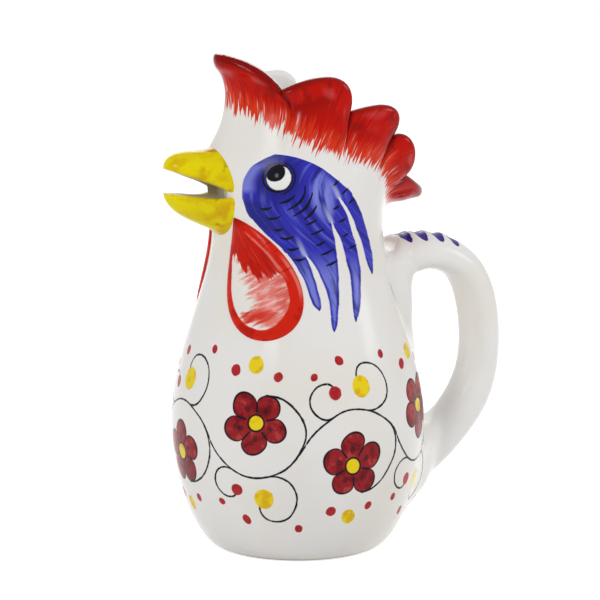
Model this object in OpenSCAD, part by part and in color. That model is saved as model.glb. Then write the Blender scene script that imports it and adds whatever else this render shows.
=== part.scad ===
// Rooster jug: a hollow bird whose scalloped comb is the rim and whose open beak is the spout.
// The bird faces -X, its handle is at +X and its left side is at -Y.
// The foot stands on Z = 0, and the vessel's axis is the Z axis. Lengths are in millimetres.

/* [Body] */
// Radius of the foot where it meets the table
foot_r = 43.5; // [38:0.5:48]
// Largest radius of the belly
belly_r = 64.3; // [58:0.1:70]
// Height of the belly's largest radius
belly_z = 63; // [52:1:74]
// Radius of the neck at the seam with the head
neck_r = 43; // [40:0.2:46]
// Height of the seam between the body and the head
seam_z = 162; // [154:1:168]
// Thickness of the clay wall
wall = 5; // [3.5:0.25:6.5]
// Thickness of the floor
floor_t = 6; // [4:0.5:9]
// Width of the ring that the foot stands on
foot_ring_w = 7; // [4:0.5:12]
// Depth of the recess inside the foot ring
foot_recess = 1.5; // [0.5:0.25:3]
// Film of slip left between two pieces that are luted together
slip_film = 0.2; // [0.1:0.05:0.4]

/* [Head and comb] */
// How far the comb's notch line reaches behind the axis
comb_back = 60; // [55:0.5:65]
// Half the width of the head between the two sides of the comb
comb_half_w = 32; // [28:0.5:35]
// Height of the front of the notch line above the seam
comb_rise = 64; // [58:0.5:70]
// How far the face is drawn forward of the axis
face_reach = 62; // [58:0.5:66]
// Half the width over which the cheeks are drawn out
cheek_half_w = 45; // [42:0.5:48]
// Height of the front lobe above the notch line
lobe_h = 20.5; // [15:0.5:26]
// How far each lobe swells out of the wall
lobe_swell = 2.4; // [0:0.1:4]
// Thickness of the wall at the rim of the comb
rim_wall = 5; // [3.5:0.25:6]

/* [Beak and mouth] */
// Height of the middle of the mouth above the foot
mouth_z = 182; // [179:0.5:185]
// Height of the mouth slot through the face
mouth_h = 10; // [6:0.5:12]
// Half the width of the mouth slot
mouth_half_w = 10; // [7:0.5:12]
// Radius of the mouth slot's corners
mouth_corner_r = 2; // [1:0.25:2.75]
// Half the width of the beak at its root
beak_half_w = 16; // [14:0.5:18]
// How far the beak's tips reach in front of the axis
beak_reach = 72.5; // [66:0.5:80]
// Height of the upper beak at its root
upper_beak_h = 19; // [16:0.5:22]
// Height of the lower beak at its root
lower_beak_h = 18; // [15:0.5:20]

/* [Eyes and wattles] */
// Radius of an eye
eye_r = 6.5; // [4:0.25:8]
// How far an eye stands out of the face
eye_raise = 2.4; // [1:0.2:4]
// Height of the eyes above the foot
eye_z = 190.5; // [184:0.5:194]
// Distance of each eye from the middle plane
eye_y = 33; // [30:0.5:36]
// Length of a wattle
wattle_l = 62; // [54:1:68]
// Width of a wattle
wattle_w = 39; // [30:1:46]
// Height of a wattle's point above the foot
wattle_tip_z = 166; // [162:0.5:170]
// Gap between a wattle's point and the root of the lower beak
wattle_gap = 1; // [0.5:0.25:4]
// How far a wattle stands out of the body
wattle_raise = 2.6; // [1:0.2:4]

/* [Handle] */
// How far the middle of the handle reaches behind the axis
handle_reach = 105.5; // [98:0.5:112]
// Height at which the middle of the handle leaves the neck
handle_top_z = 141; // [136:1:146]
// Height at which the middle of the handle runs straight down
handle_turn_z = 96; // [90:1:104]
// Height at which the middle of the handle meets the belly
handle_foot_z = 27; // [24:1:32]
// Thickness of the handle, from its inner to its outer face
handle_t = 20; // [14:0.5:22]
// Depth of the web that fills the corner under the handle's upper root
web_h = 11; // [0:0.5:13]
// Distance along the handle over which the web runs out
web_run = 30; // [22:1:36]
// Width of the handle across
handle_w = 24; // [18:0.5:28]
// Height of the thumb ridges on top of the handle
ridge_h = 1.1; // [0:0.1:2]
// Distance from one thumb ridge to the next
ridge_pitch = 9.6; // [8:0.2:12]

/* [Hidden] */

$fn = 64;

// Rounding of the foot and of the shoulder, as shares of the runs that they round
foot_run_share = 0.35;
foot_rise_share = 0.52;
shoulder_share = 0.36;
throat_share = 0.3;
profile_steps = 16;

// The comb's stations, from the brow round one side to the nape: one at each notch.
// Each point is in shares of the comb's reach, its half width and its rise above the seam.
notch_shares = [
    [-0.64, 0, 1], [-0.33, 0.81, 1.08], [0.22, 1, 0.92],
    [0.63, 0.87, 0.69], [0.84, 0.65, 0.38], [1, 0, 0.19]
];
// Guide points of the cheeks, in shares of the face's reach, the cheeks' half width and the comb's rise
cheek_shares = [
    [-1, 0, 0.59], [-0.58, 0.8, 0.55], [0.06, 1, 0.5],
    [0.42, 0.8, 0.4], [0.6, 0.44, 0.26], [0.74, 0, 0.12]
];
// Guide points of the brow below each notch, in the same shares as the notches
brow_shares = [
    [-0.33, 0, 0.93], [-0.1, 0.8, 0.86], [0.16, 1.04, 0.75],
    [0.5, 0.94, 0.55], [0.7, 0.68, 0.31], [0.88, 0, 0.18]
];
// Angles round the neck at which the stations start, from the front
seam_angles = [0, 50, 92, 124, 152, 180];
// Angles by which the lobes lean back from the vertical at the stations
lean_angles = [-13, 2, 24, 50, 80, 82];
// How far the wall runs straight up from the seam, in shares of the comb's rise
upright_shares = [0.2, 0.2, 0.18, 0.12, 0.06, 0.03];
// Each lobe's height, as a share of the front lobe's, with its lean towards the back and its fullness
lobe_h_shares = [1, 0.6, 0.6, 0.42, 0.45];
lobe_lean_shares = [1, 2.2, 1.8, 0.65, 1];
lobe_full_shares = [0.75, 0.48, 0.57, 0.8, 1];
// Part of the wall's height, counted from the seam, over which the lobes start to swell
swell_start_share = 0.55;
swell_full_share = 0.85;
last_station = len(notch_shares) - 1;
lobe_columns = 10;
outer_rows = 15;
inner_rows = 10;
rim_rows = 3;

// Taper of the two halves of the beak, the power that blunts their tips, and the scoop along the inside
upper_taper_share = 0.55;
lower_taper_share = 0.52;
tip_power = 6;
scoop_h_share = 0.3;
scoop_end_share = 0.85;
// Heights of the beak's edges from the middle of the mouth, as shares of the mouth's height
upper_root_share = 0.15;
upper_tip_share = 1.2;
lower_root_share = -0.35;
lower_tip_share = 0.02;
arch_steps = 14;
beak_rows = 9;
// Power that crowds the beak's rows towards the tip
beak_crowding = 1.5;

// The angle at which a wattle hangs, how sharp its point is, and where the middle of its pad lies
wattle_tilt = 33;
wattle_point = 0.7;
wattle_middle_share = 0.56;
wattle_columns = 40;
eye_columns = 24;
// Where the rings of a raised pad lie, as shares of the way from its middle to its edge
pad_shares = [0.3, 0.6, 0.82, 0.95];
seat_shares = [0.75, 0.5, 0.25];

// Course of the handle's two curves, in shares of their runs outwards and downwards
handle_leave_share = 0.56;
handle_lift_share = 0.2;
handle_crown_share = 0.95;
handle_turn_share = 0.44;
handle_land_shares = [0.63, 0.38];
// Growth of the handle towards its upper and lower roots, and the share of its course that each takes
upper_growth_share = 0.15;
lower_growth_share = 0.3;
root_run_share = 0.3;
// Where the free part of the handle starts, ends its ridges and stops, as shares of its course
free_start_share = 0.07;
ridge_end_share = 0.31;
free_end_share = 0.86;
// Where the rings that land on the neck and on the belly are taken, as shares of its course,
// and how much of its fall the lower one keeps
neck_land_share = 0.03;
belly_land_share = 0.93;
land_fall_share = 0.75;
// Number of thumb ridges, and the distance of the first from the neck as a share of their pitch
ridge_count = 4;
ridge_start_share = 1.25;
handle_columns = 22;
ridge_rows = 24;
plain_rows = 30;

function mix(a, b, share) = a + (b - a) * share;
function clamp(x) = max(0, min(1, x));
function ease(x) = let (c = clamp(x)) c * c * (3 - 2 * c);
function unit(v) = v / norm(v);
function reflect(p) = [p.x, -p.y, p.z];
function backwards(list) = [for (i = [len(list) - 1 : -1 : 0]) list[i]];

// A point on a Bezier curve of any number of guide points
function bezier(guides, t) = len(guides) == 1
    ? guides[0]
    : bezier([for (i = [0 : len(guides) - 2]) mix(guides[i], guides[i + 1], t)], t);

// A smooth course through a table of stations, with a value past each end
function course(table, u, before, after) = let (
    i = min(floor(u), len(table) - 2),
    f = u - i,
    p = i == 0 ? before : table[i - 1],
    q = table[i],
    r = table[i + 1],
    s = i == len(table) - 2 ? after : table[i + 2]
) q + f / 2 * (r - p + f * (2 * p - 5 * q + 4 * r - s + f * (3 * (q - r) + s - p)));
function guide_course(table, u) =
    course(table, u, reflect(table[1]), reflect(table[last_station - 1]));
function even_course(table, u) = course(table, u, table[1], table[last_station - 1]);
function seam_angle(u) =
    course(seam_angles, u, -seam_angles[1], 360 - seam_angles[last_station - 1]);

// The body's flank from the foot to the seam, as radius and height, set in from the outside by inset
function flank(inset, low) = let (
    foot = foot_r - inset,
    belly = belly_r - inset,
    neck = neck_r - inset,
    lower = [
        [foot, low],
        [mix(foot, belly, foot_run_share), low],
        [belly, mix(low, belly_z, foot_rise_share)],
        [belly, belly_z]
    ],
    upper = [
        [belly, belly_z],
        [belly, mix(belly_z, seam_z, shoulder_share)],
        [neck, mix(seam_z, belly_z, throat_share)],
        [neck, seam_z]
    ]
) concat(
    [for (i = [0 : profile_steps]) bezier(lower, i / profile_steps)],
    [for (i = [1 : profile_steps]) bezier(upper, i / profile_steps)]
);
outer_flank = flank(0, 0);
flank_by_height = [for (p = outer_flank) [p.y, p.x]];
function body_r(z) = lookup(z, flank_by_height);
// A point on the body's outside, at an angle from the front and a height, lifted off by lift
function on_body(angle, z, lift) = let (r = body_r(z) + lift) [-r * cos(angle), -r * sin(angle), z];

// Guide points of the head's wall at a station, from the seam to the rim of a lobe of the given height
function placed(share, reach, half_w) =
    [reach * share.x, -half_w * share.y, seam_z + comb_rise * share.z];
notches = [for (s = notch_shares) placed(s, comb_back, comb_half_w)];
brows = [for (s = brow_shares) placed(s, comb_back, comb_half_w)];
cheeks = [for (s = cheek_shares) placed(s, face_reach, cheek_half_w)];
function lean(u) = let (a = even_course(lean_angles, u)) [sin(a), 0, cos(a)];
function wall_guides(u, lobe) = let (
    angle = seam_angle(u),
    start = [-neck_r * cos(angle), -neck_r * sin(angle), seam_z]
) [
    start,
    start + [0, 0, comb_rise * even_course(upright_shares, u)],
    guide_course(cheeks, u),
    guide_course(brows, u),
    guide_course(notches, u) + (lobe - rim_wall / 2) * lean(u)
];
// Stations run on past the brow and the nape to the other side, where the guide points are reflected
function folded(u) = let (w = abs(u)) w > last_station ? 2 * last_station - w : w;
function side_guides(u, lobe) = let (guides = wall_guides(folded(u), lobe))
    u < 0 || u > last_station ? [for (g = guides) reflect(g)] : guides;

// How far along its lobe a station lies, from one notch to the next, and how high the lobe is there
function lobe_at(u) = min(floor(folded(u)), last_station - 1);
function along_lobe(u) = let (i = lobe_at(u), f = folded(u) - i)
    i == 0 ? (1 + f) / 2 : i == last_station - 1 ? f / 2 : f;
function lobe_rise(u) = let (i = lobe_at(u), p = pow(along_lobe(u), lobe_lean_shares[i]))
    lobe_h * lobe_h_shares[i] * pow(sin(180 * p), lobe_full_shares[i]);
function swell(u, t) = lobe_swell * sqrt(sin(180 * along_lobe(u)))
    * ease((t - swell_start_share) / (swell_full_share - swell_start_share));

// A point on the head's outside below the swell of the lobes, at a station and a share of the wall
function on_head(u, t) = bezier(side_guides(u, lobe_rise(u)), t);

// The spot, as a station and a share of the wall, at height z and at distance off from an upright plane
// through the axis, which has the given normal: found by closing in on it
nudge = 0.001;
spot_tries = 6;
station_by_angle = [for (i = [0 : last_station]) [seam_angles[i], i]];
function first_spot(angle, z) =
    [sign(angle) * lookup(abs(angle), station_by_angle), (z - seam_z) / comb_rise];
function head_spot(normal, off, z, spot, tries = spot_tries) = tries == 0 ? spot : let (
    p = on_head(spot.x, spot.y),
    du = (on_head(spot.x + nudge, spot.y) - p) / nudge,
    dt = (on_head(spot.x, spot.y + nudge) - p) / nudge,
    miss = [off - normal * p, z - p.z],
    det = normal * du * dt.z - normal * dt * du.z,
    step = [miss.x * dt.z - miss.y * (normal * dt), miss.y * (normal * du) - miss.x * du.z] / det
) head_spot(normal, off, z, spot + step, tries - 1);

// A point on the body or the head, at an angle from the front and a height, lifted off by lift
function on_wall(angle, z, lift) = z < seam_z ? on_body(angle, z, lift) : let (
    spot = head_spot([sin(angle), -cos(angle), 0], 0, z, first_spot(angle, z))
) on_head(spot.x, spot.y) - lift * [cos(angle), sin(angle), 0];

// A spot and a point on the jug's front, at a distance from the middle plane and a height
function front_spot(y, z) = head_spot([0, 1, 0], y, z, first_spot(-asin(y / cheek_half_w), z));
function on_front(y, z) = z < seam_z
    ? [-sqrt(pow(body_r(z), 2) - y * y), y, z]
    : let (spot = front_spot(y, z)) on_head(spot.x, spot.y);
function front_normal(y, z) = let (
    spot = front_spot(y, z),
    p = on_head(spot.x, spot.y),
    along = on_head(spot.x + nudge, spot.y) - p,
    up = on_head(spot.x, spot.y + nudge) - p
) unit(cross(along, up));

// Two triangles on each cell between neighbouring rings of points
function ring_faces(rings, n, first, closed) = [
    for (r = [0 : rings - (closed ? 1 : 2)], k = [0 : n - 1])
        let (
            low = first + r * n,
            high = first + (r + 1) % rings * n,
            next = (k + 1) % n
        )
        each [[low + k, high + k, high + next], [low + k, high + next, low + next]]
];

// A closed skin over rings of points, with a pole at each end
module skin(rings, first_pole, last_pole) {
    n = len(rings[0]);
    count = len(rings);
    last = count * n + 1;
    polyhedron(
        concat([first_pole], [for (ring = rings) each ring], [last_pole]),
        concat(
            [for (k = [0 : n - 1]) [0, 1 + k, 1 + (k + 1) % n]],
            ring_faces(count, n, 1, false),
            [for (k = [0 : n - 1]) [last, last - n + (k + 1) % n, last - n + k]]
        ),
        convexity = 10
    );
}

// The vessel below the seam: one turned wall with a floor and a foot ring
module vessel_body() {
    ring_in = foot_r - foot_ring_w;
    color("whitesmoke") rotate_extrude() polygon(concat(
        outer_flank,
        backwards(flank(wall, floor_t)),
        [[0, floor_t], [0, foot_recess], [ring_in - foot_recess, foot_recess], [ring_in, 0]]
    ));
}

// The head's wall: outside from the seam to the lobes, over the rounded rim and down the inside
module head_wall() {
    n = 2 * last_station * lobe_columns;
    stations = [for (k = [0 : n - 1]) k / lobe_columns];
    lobed = [for (u = stations) side_guides(u, lobe_rise(u))];
    plain = [for (u = stations) side_guides(u, 0)];
    outward = function(k, t) let (
        p = bezier(plain[k], t),
        along = bezier(plain[(k + 1) % n], t) - bezier(plain[(k + n - 1) % n], t),
        up = bezier(plain[k], t + nudge) - bezier(plain[k], t - nudge)
    ) unit(cross(along, up));
    outer = [for (i = [0 : outer_rows - 1]) let (t = i / (outer_rows - 1)) [
        for (k = [0 : n - 1]) bezier(lobed[k], t) + swell(stations[k], t) * outward(k, t)
    ]];
    rim = [for (i = [1 : rim_rows]) let (a = 180 * i / (rim_rows + 1)) [
        for (k = [0 : n - 1])
            let (
                u = stations[k],
                side = outward(k, 1),
                half = (rim_wall + swell(u, 1)) / 2,
                middle = bezier(lobed[k], 1) + (swell(u, 1) - half) * side
            )
            middle + half * (cos(a) * side + sin(a) * unit(lobed[k][4] - lobed[k][3]))
    ]];
    inner = [for (i = [0 : inner_rows - 1]) let (t = 1 - i / (inner_rows - 1)) [
        for (k = [0 : n - 1]) bezier(lobed[k], t) - mix(wall, rim_wall, t) * outward(k, t)
    ]];
    rings = concat(outer, rim, inner);
    polyhedron(
        [for (ring = rings) each ring],
        ring_faces(len(rings), n, 0, true),
        convexity = 10
    );
}

// The mouth: a slot with round corners through the front of the head's wall
module mouth_slot() {
    reach = mouth_half_w - mouth_corner_r;
    height = mouth_h / 2 - mouth_corner_r;
    translate([-face_reach, 0, mouth_z]) rotate([90, 0, 90]) linear_extrude(face_reach - wall) {
        square([2 * mouth_half_w, 2 * height], center = true);
        square([2 * reach, mouth_h], center = true);
        for (side = [-1, 1], end = [-1, 1]) translate([side * reach, end * height]) circle(mouth_corner_r);
    }
}

module head() {
    color("firebrick") difference() {
        head_wall();
        mouth_slot();
    }
}

// One half of the beak: an arched blade over a shallow scoop, seated on the face.
// rise is the height of its arch, which is negative on the lower half.
module beak(rise, taper_share, root_edge, tip_edge) {
    angles = [for (i = [0 : arch_steps]) 180 * i / arch_steps];
    arch = function(half_w, edge, h, a) [half_w * cos(a), edge + h * sin(a)];
    section = function(v) let (
        size = (1 - taper_share * v) * sqrt(1 - pow(v, tip_power)),
        edge = mix(root_edge, tip_edge, v),
        scoop = scoop_h_share * rise * size * (1 - clamp(v / scoop_end_share)),
        lip = (beak_half_w + mouth_half_w) / 2 * size
    ) concat(
        [for (a = angles) arch(beak_half_w * size, edge, rise * size, a)],
        [[-lip, edge]],
        [for (a = backwards(angles)) arch(mouth_half_w * size, edge, scoop, a)],
        [[lip, edge]]
    );
    seat = function(p) on_front(p.x, p.y).x - slip_film;
    root = section(0);
    root_x = [for (p = root) seat(p)];
    n = len(root);
    rows = [for (i = [0 : beak_rows - 1]) 1 - pow(1 - i / beak_rows, beak_crowding)];
    rings = [for (v = rows) let (s = section(v)) [
        for (k = [0 : n - 1]) [mix(root_x[k], -beak_reach, v), s[k].x, s[k].y]
    ]];
    // The seat is one row of points deeper than its two edges, so that it follows the round face
    middles = [
        for (i = [1 : arch_steps - 1])
            let (p = (root[i] + root[n - 2 - i]) / 2)
            [seat(p), p.x, p.y]
    ];
    tip = beak_rows * n;
    mid = function(i) i == 0 ? n - 1 : i == arch_steps ? arch_steps + 1 : tip + i;
    inside = function(i) n - 2 - i;
    faces = concat(
        ring_faces(beak_rows, n, 0, false),
        [for (k = [0 : n - 1]) [tip, tip - n + (k + 1) % n, tip - n + k]],
        [for (i = [0 : arch_steps - 1]) each [
            [i, i + 1, mid(i + 1)], [i, mid(i + 1), mid(i)],
            [mid(i), mid(i + 1), inside(i + 1)], [mid(i), inside(i + 1), inside(i)]
        ]]
    );
    polyhedron(
        concat([for (ring = rings) each ring], [[-beak_reach, 0, tip_edge]], middles),
        rise < 0 ? faces : [for (f = faces) backwards(f)],
        convexity = 10
    );
}

function beak_edge(share) = mouth_z + share * mouth_h;
module upper_beak() {
    color("gold") beak(upper_beak_h, upper_taper_share,
        beak_edge(upper_root_share), beak_edge(upper_tip_share));
}

module lower_beak() {
    color("gold") beak(-lower_beak_h, lower_taper_share,
        beak_edge(lower_root_share), beak_edge(lower_tip_share));
}

// Height of a raised pad's crown at a share of the way to its edge: flatter with a higher power
function pad_height(share, power) = sqrt(1 - pow(share, power));
eye_power = 2;
wattle_power = 4;

// An eye: a round pellet on the cheek
module left_eye() {
    middle = on_front(-eye_y, eye_z);
    out = front_normal(-eye_y, eye_z);
    along = unit(cross(out, [0, 0, 1]));
    up = cross(along, out);
    seat = function(share, a) let (
        p = middle + eye_r * share * (cos(a) * along + sin(a) * up)
    ) on_front(p.y, p.z) + slip_film * out;
    angles = [for (k = [0 : eye_columns - 1]) 360 * k / eye_columns];
    crown = [for (s = pad_shares) [
        for (a = angles) seat(s, a) + eye_raise * pad_height(s, eye_power) * out
    ]];
    base = [for (s = concat([1], seat_shares)) [for (a = angles) seat(s, a)]];
    color("white") skin(concat(crown, base), seat(0, 0) + eye_raise * out, seat(0, 0));
}

module right_eye() {
    mirror([0, 1, 0]) left_eye();
}

// A wattle: a teardrop pad that hangs from its point beside the root of the lower beak
module left_wattle() {
    depth = clamp((beak_edge(lower_root_share) - wattle_tip_z) / lower_beak_h);
    tip_y = beak_half_w * sqrt(1 - depth * depth) + wattle_gap;
    tip_angle = asin(tip_y / neck_r);
    power = 1 + wattle_point;
    full = 2 * sqrt(1 / (1 + power)) * pow(power / (1 + power), power / 2);
    outline = function(a) [
        wattle_w / 2 * sin(a) * pow(sin(a / 2), wattle_point) / full,
        wattle_l / 2 * (1 - cos(a))
    ];
    middle = [0, wattle_middle_share * wattle_l];
    round_r = body_r(wattle_tip_z - middle.y);
    lifted = function(share, a, lift) let (
        p = mix(middle, outline(a), share),
        around = p.x * cos(wattle_tilt) + p.y * sin(wattle_tilt),
        z = wattle_tip_z + p.x * sin(wattle_tilt) - p.y * cos(wattle_tilt)
    ) on_wall(tip_angle + around / round_r * 180 / PI, z, slip_film + lift);
    angles = [for (k = [0 : wattle_columns - 1]) 360 * k / wattle_columns];
    crown = [for (s = pad_shares) [
        for (a = angles) lifted(s, a, wattle_raise * pad_height(s, wattle_power))
    ]];
    base = [for (s = concat([1], seat_shares)) [for (a = angles) lifted(s, a, 0)]];
    color("firebrick") skin(concat(crown, base), lifted(0, 0, wattle_raise), lifted(0, 0, 0));
}

module right_wattle() {
    mirror([0, 1, 0]) left_wattle();
}

// The handle's course in the middle plane: a curve from the neck to the turn, and one to the belly
handle_start = [body_r(handle_top_z), handle_top_z];
handle_end = [body_r(handle_foot_z), handle_foot_z];
handle_turn = [handle_reach, handle_turn_z];
upper_guides = let (run = handle_reach - handle_start.x, drop = handle_top_z - handle_turn_z) [
    handle_start,
    handle_start + [run * handle_leave_share, drop * handle_lift_share],
    handle_turn + [0, drop * handle_crown_share],
    handle_turn
];
lower_guides = let (run = handle_reach - handle_end.x, drop = handle_turn_z - handle_foot_z) [
    handle_turn,
    handle_turn - [0, drop * handle_turn_share],
    handle_end + [run * handle_land_shares.x, drop * handle_land_shares.y],
    handle_end
];
function handle_spot(v) = v < 0.5 ? bezier(upper_guides, 2 * v) : bezier(lower_guides, 2 * v - 1);
function handle_way(v) = let (step = handle_spot(v + nudge) - handle_spot(v - nudge))
    unit([step.x, 0, step.y]);

// Distance along the handle's course, and the height of the thumb ridges there
run_steps = 40;
function travelled(v, i = 0) = i == run_steps ? 0
    : norm(handle_spot(v * (i + 1) / run_steps) - handle_spot(v * i / run_steps)) + travelled(v, i + 1);
function ridge(v) = let (turn = travelled(v) / ridge_pitch - ridge_start_share)
    turn < -0.5 || turn > ridge_count - 0.5 ? 0 : ridge_h * (1 + cos(360 * turn)) / 2;

// A point moved along a way until it meets the body's outside
land_tries = 8;
function landed(p, way, tries = land_tries) = tries == 0 ? p : let (
    r = norm([p.x, p.y]),
    slope = (body_r(p.z + nudge) - body_r(p.z - nudge)) / (2 * nudge),
    gap = r - body_r(p.z) - slip_film,
    closing = (way.x * p.x + way.y * p.y) / r - slope * way.z
) landed(p - way * gap / closing, way, tries - 1);

// Depth of the web under the upper root
function web(v) =
    web_h * pow(max(0, web_run - travelled(v)) / (web_run - travelled(free_start_share)), 2);

// An oval ring of the handle, drawn in towards its middle by share
handle_angles = [for (k = [0 : handle_columns - 1]) 360 * k / handle_columns];
function root_growth(v) = 1
    + upper_growth_share * pow(clamp(1 - v / root_run_share), 2)
    + lower_growth_share * pow(clamp(1 - (1 - v) / root_run_share), 2);
function handle_ring(v, share) = let (
    spot = handle_spot(v),
    way = handle_way(v),
    out = [-way.z, 0, way.x],
    size = root_growth(v) / 2,
    top = ridge(v),
    under = web(v)
) [
    for (a = handle_angles)
        let (rise = handle_t * size * cos(a) + (cos(a) > 0 ? top : -under) * pow(cos(a), 2))
        [spot.x, 0, spot.y] + share * (rise * out - [0, handle_w * size * sin(a), 0])
];
function landed_ring(v, share, way) = [for (p = handle_ring(v, share)) landed(p, way)];

// The handle: an oval bar with thumb ridges on top, whose two ends follow the body's round wall
module handle() {
    ridged = [for (i = [0 : ridge_rows - 1]) mix(free_start_share, ridge_end_share, i / ridge_rows)];
    plain = [for (i = [0 : plain_rows]) mix(ridge_end_share, free_end_share, i / plain_rows)];
    neck_way = handle_way(neck_land_share);
    belly_way = let (way = handle_way(belly_land_share)) unit([way.x, 0, way.z * land_fall_share]);
    shares = concat([1], seat_shares);
    rings = concat(
        [for (share = backwards(shares)) landed_ring(neck_land_share, share, neck_way)],
        [for (v = concat(ridged, plain)) handle_ring(v, 1)],
        [for (share = shares) landed_ring(belly_land_share, share, belly_way)]
    );
    color("ivory") skin(
        rings,
        landed_ring(neck_land_share, 0, neck_way)[0],
        landed_ring(belly_land_share, 0, belly_way)[0]
    );
}

vessel_body();
head();
upper_beak();
lower_beak();
left_eye();
right_eye();
left_wattle();
right_wattle();
handle();
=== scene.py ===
# %% [markdown]
# # A painted rooster jug
# The jug is a hollow earthenware bird: a turned belly, a modelled head whose scalloped comb is the rim,
# an open beak that pours, and an ear handle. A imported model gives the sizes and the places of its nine
# pieces, and this lesson dresses each of them: a finer mesh of the same form, and a painted glaze.
# The bird faces -X, its handle is at +X, and its left side, which the camera sees, is at -Y.

# %% Load the frame and measure it
import math
from contextlib import contextmanager
from functools import reduce

import bmesh
import bpy
import numpy as np
from mathutils import Matrix, Vector
from mathutils.bvhtree import BVHTree


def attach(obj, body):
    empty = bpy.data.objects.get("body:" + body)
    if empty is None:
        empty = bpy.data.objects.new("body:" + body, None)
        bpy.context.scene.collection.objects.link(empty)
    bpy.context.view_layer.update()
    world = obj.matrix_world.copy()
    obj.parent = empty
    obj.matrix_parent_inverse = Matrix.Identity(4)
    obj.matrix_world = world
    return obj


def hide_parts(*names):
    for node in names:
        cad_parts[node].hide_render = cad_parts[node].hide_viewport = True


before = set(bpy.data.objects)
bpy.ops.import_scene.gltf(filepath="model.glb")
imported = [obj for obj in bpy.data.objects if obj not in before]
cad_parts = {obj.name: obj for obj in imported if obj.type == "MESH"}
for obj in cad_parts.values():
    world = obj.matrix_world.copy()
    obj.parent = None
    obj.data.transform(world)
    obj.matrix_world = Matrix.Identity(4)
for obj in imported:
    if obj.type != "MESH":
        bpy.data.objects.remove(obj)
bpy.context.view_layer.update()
MM = 0.001
scene = bpy.context.scene


def add_object(name, data):
    """A new object in the scene."""
    made = bpy.data.objects.new(name, data)
    scene.collection.objects.link(made)
    return made


# %% [markdown]
# ## The stage
# The photograph is a studio shot on white: broad, soft light from both sides, and hardly any shadow.
# A large pale floor, a white world and three area lamps, a third to two thirds of a metre wide, give that.
# Point lamps would be simpler, but their hard highlights would hide the brushwork. The camera sees the
# world at strength 1, which is white, while the jug is lit by a weaker sky, so that the background never
# burns out the glaze.

# %% Camera at the photograph's angle
CAMERA_TURN = math.radians(-26)
CAMERA_RISE = math.radians(9.5)
CAMERA_AWAY = 1.2
AIM = Vector((0, 0, 0.120))
MM_PER_PIXEL = 0.505
PICTURE = 600
SENSOR = 36
AIM_PIXEL = (297.5, 308)

ahead = Vector((
    -math.sin(CAMERA_TURN) * math.cos(CAMERA_RISE),
    math.cos(CAMERA_TURN) * math.cos(CAMERA_RISE),
    -math.sin(CAMERA_RISE),
))
eye_point = AIM - ahead * CAMERA_AWAY
camera_data = bpy.data.cameras.new("camera")
camera_data.sensor_width = SENSOR
camera_data.lens = CAMERA_AWAY / (MM_PER_PIXEL * MM) / PICTURE * SENSOR
camera_data.shift_x = (PICTURE / 2 - AIM_PIXEL[0]) / PICTURE
camera_data.shift_y = (AIM_PIXEL[1] - PICTURE / 2) / PICTURE
camera = add_object("camera", camera_data)
camera.location = eye_point
camera.rotation_euler = ahead.to_track_quat("-Z", "Y").to_euler()
scene.camera = camera
scene.view_settings.view_transform = "Standard"
print("lens", round(camera_data.lens, 1), "mm")

# %% [markdown]
# ## Sums on sockets
# Paint is arithmetic: a stroke is a distance, an edge is a threshold, a wash is a product. Node trees
# written link by link hide that arithmetic, so one small class wraps a socket, and the usual operators
# on it add Math nodes. The same class serves shaders and geometry trees. Any other node comes from its
# one method `node`, which sets the node's settings first and then its sockets.

# %% A socket that can be added, multiplied and compared
class Flow:
    def __init__(self, tree, socket=None):
        self.tree = tree
        self.socket = socket

    def node(self, kind, settings=None, inputs=None, output=0):
        made = self.tree.nodes.new(kind)
        for name, value in (settings or {}).items():
            if name == "points":
                curve = made.mapping.curves[0]
                for place in value[len(curve.points):]:
                    curve.points.new(*place)
                for point, place in zip(curve.points, sorted(value)):
                    point.location = place
                    point.handle_type = "AUTO_CLAMPED"
                made.mapping.update()
            else:
                setattr(made, name, value)
        for key, value in (inputs or {}).items():
            if isinstance(value, Flow):
                self.tree.links.new(value.socket, made.inputs[key])
            else:
                made.inputs[key].default_value = value
        return Flow(self.tree, made.outputs[output] if made.outputs else None)

    def math(self, operation, *values):
        return self.node("ShaderNodeMath", {"operation": operation}, dict(enumerate(values)))

    def __add__(self, other):
        return self.math("ADD", self, other)

    def __sub__(self, other):
        return self.math("SUBTRACT", self, other)

    def __rsub__(self, other):
        return self.math("SUBTRACT", other, self)

    def __mul__(self, other):
        return self.math("MULTIPLY", self, other)

    def __truediv__(self, other):
        return self.math("DIVIDE", self, other)

    def __pow__(self, other):
        return self.math("POWER", self, other)

    def __abs__(self):
        return self.math("ABSOLUTE", self)

    __radd__ = __add__
    __rmul__ = __mul__

    def least(self, other):
        return self.math("MINIMUM", self, other)

    def most(self, other):
        return self.math("MAXIMUM", self, other)

    def rise(self, start, end):
        return self.node("ShaderNodeMapRange", {"interpolation_type": "SMOOTHSTEP"},
                         {0: self, 1: start, 2: end})

    def within(self, start, full, fade, end):
        """1 between two values, with a smooth rise before them and a smooth fall after."""
        return self.rise(start, full) * (1 - self.rise(fade, end))

    def split(self, *axes):
        """Some of a vector's three numbers."""
        return [self.node("ShaderNodeSeparateXYZ", inputs={0: self}, output=i) for i in axes]

    def between(self, low, high):
        """A colour from low to high, by this share."""
        return self.node("ShaderNodeMix", {"data_type": "RGBA"}, {0: self, 6: low, 7: high}, 2)

    def over(self, *coats):
        """This colour with paint over it, coat by coat, each by its mask."""
        return reduce(lambda under, coat: coat[0].between(under, coat[1]), coats, self)


def srgb(red, green, blue):
    def linear(value):
        share = value / 255
        return share / 12.92 if share <= 0.04045 else ((share + 0.055) / 1.055) ** 2.4
    return (linear(red), linear(green), linear(blue), 1)


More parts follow.
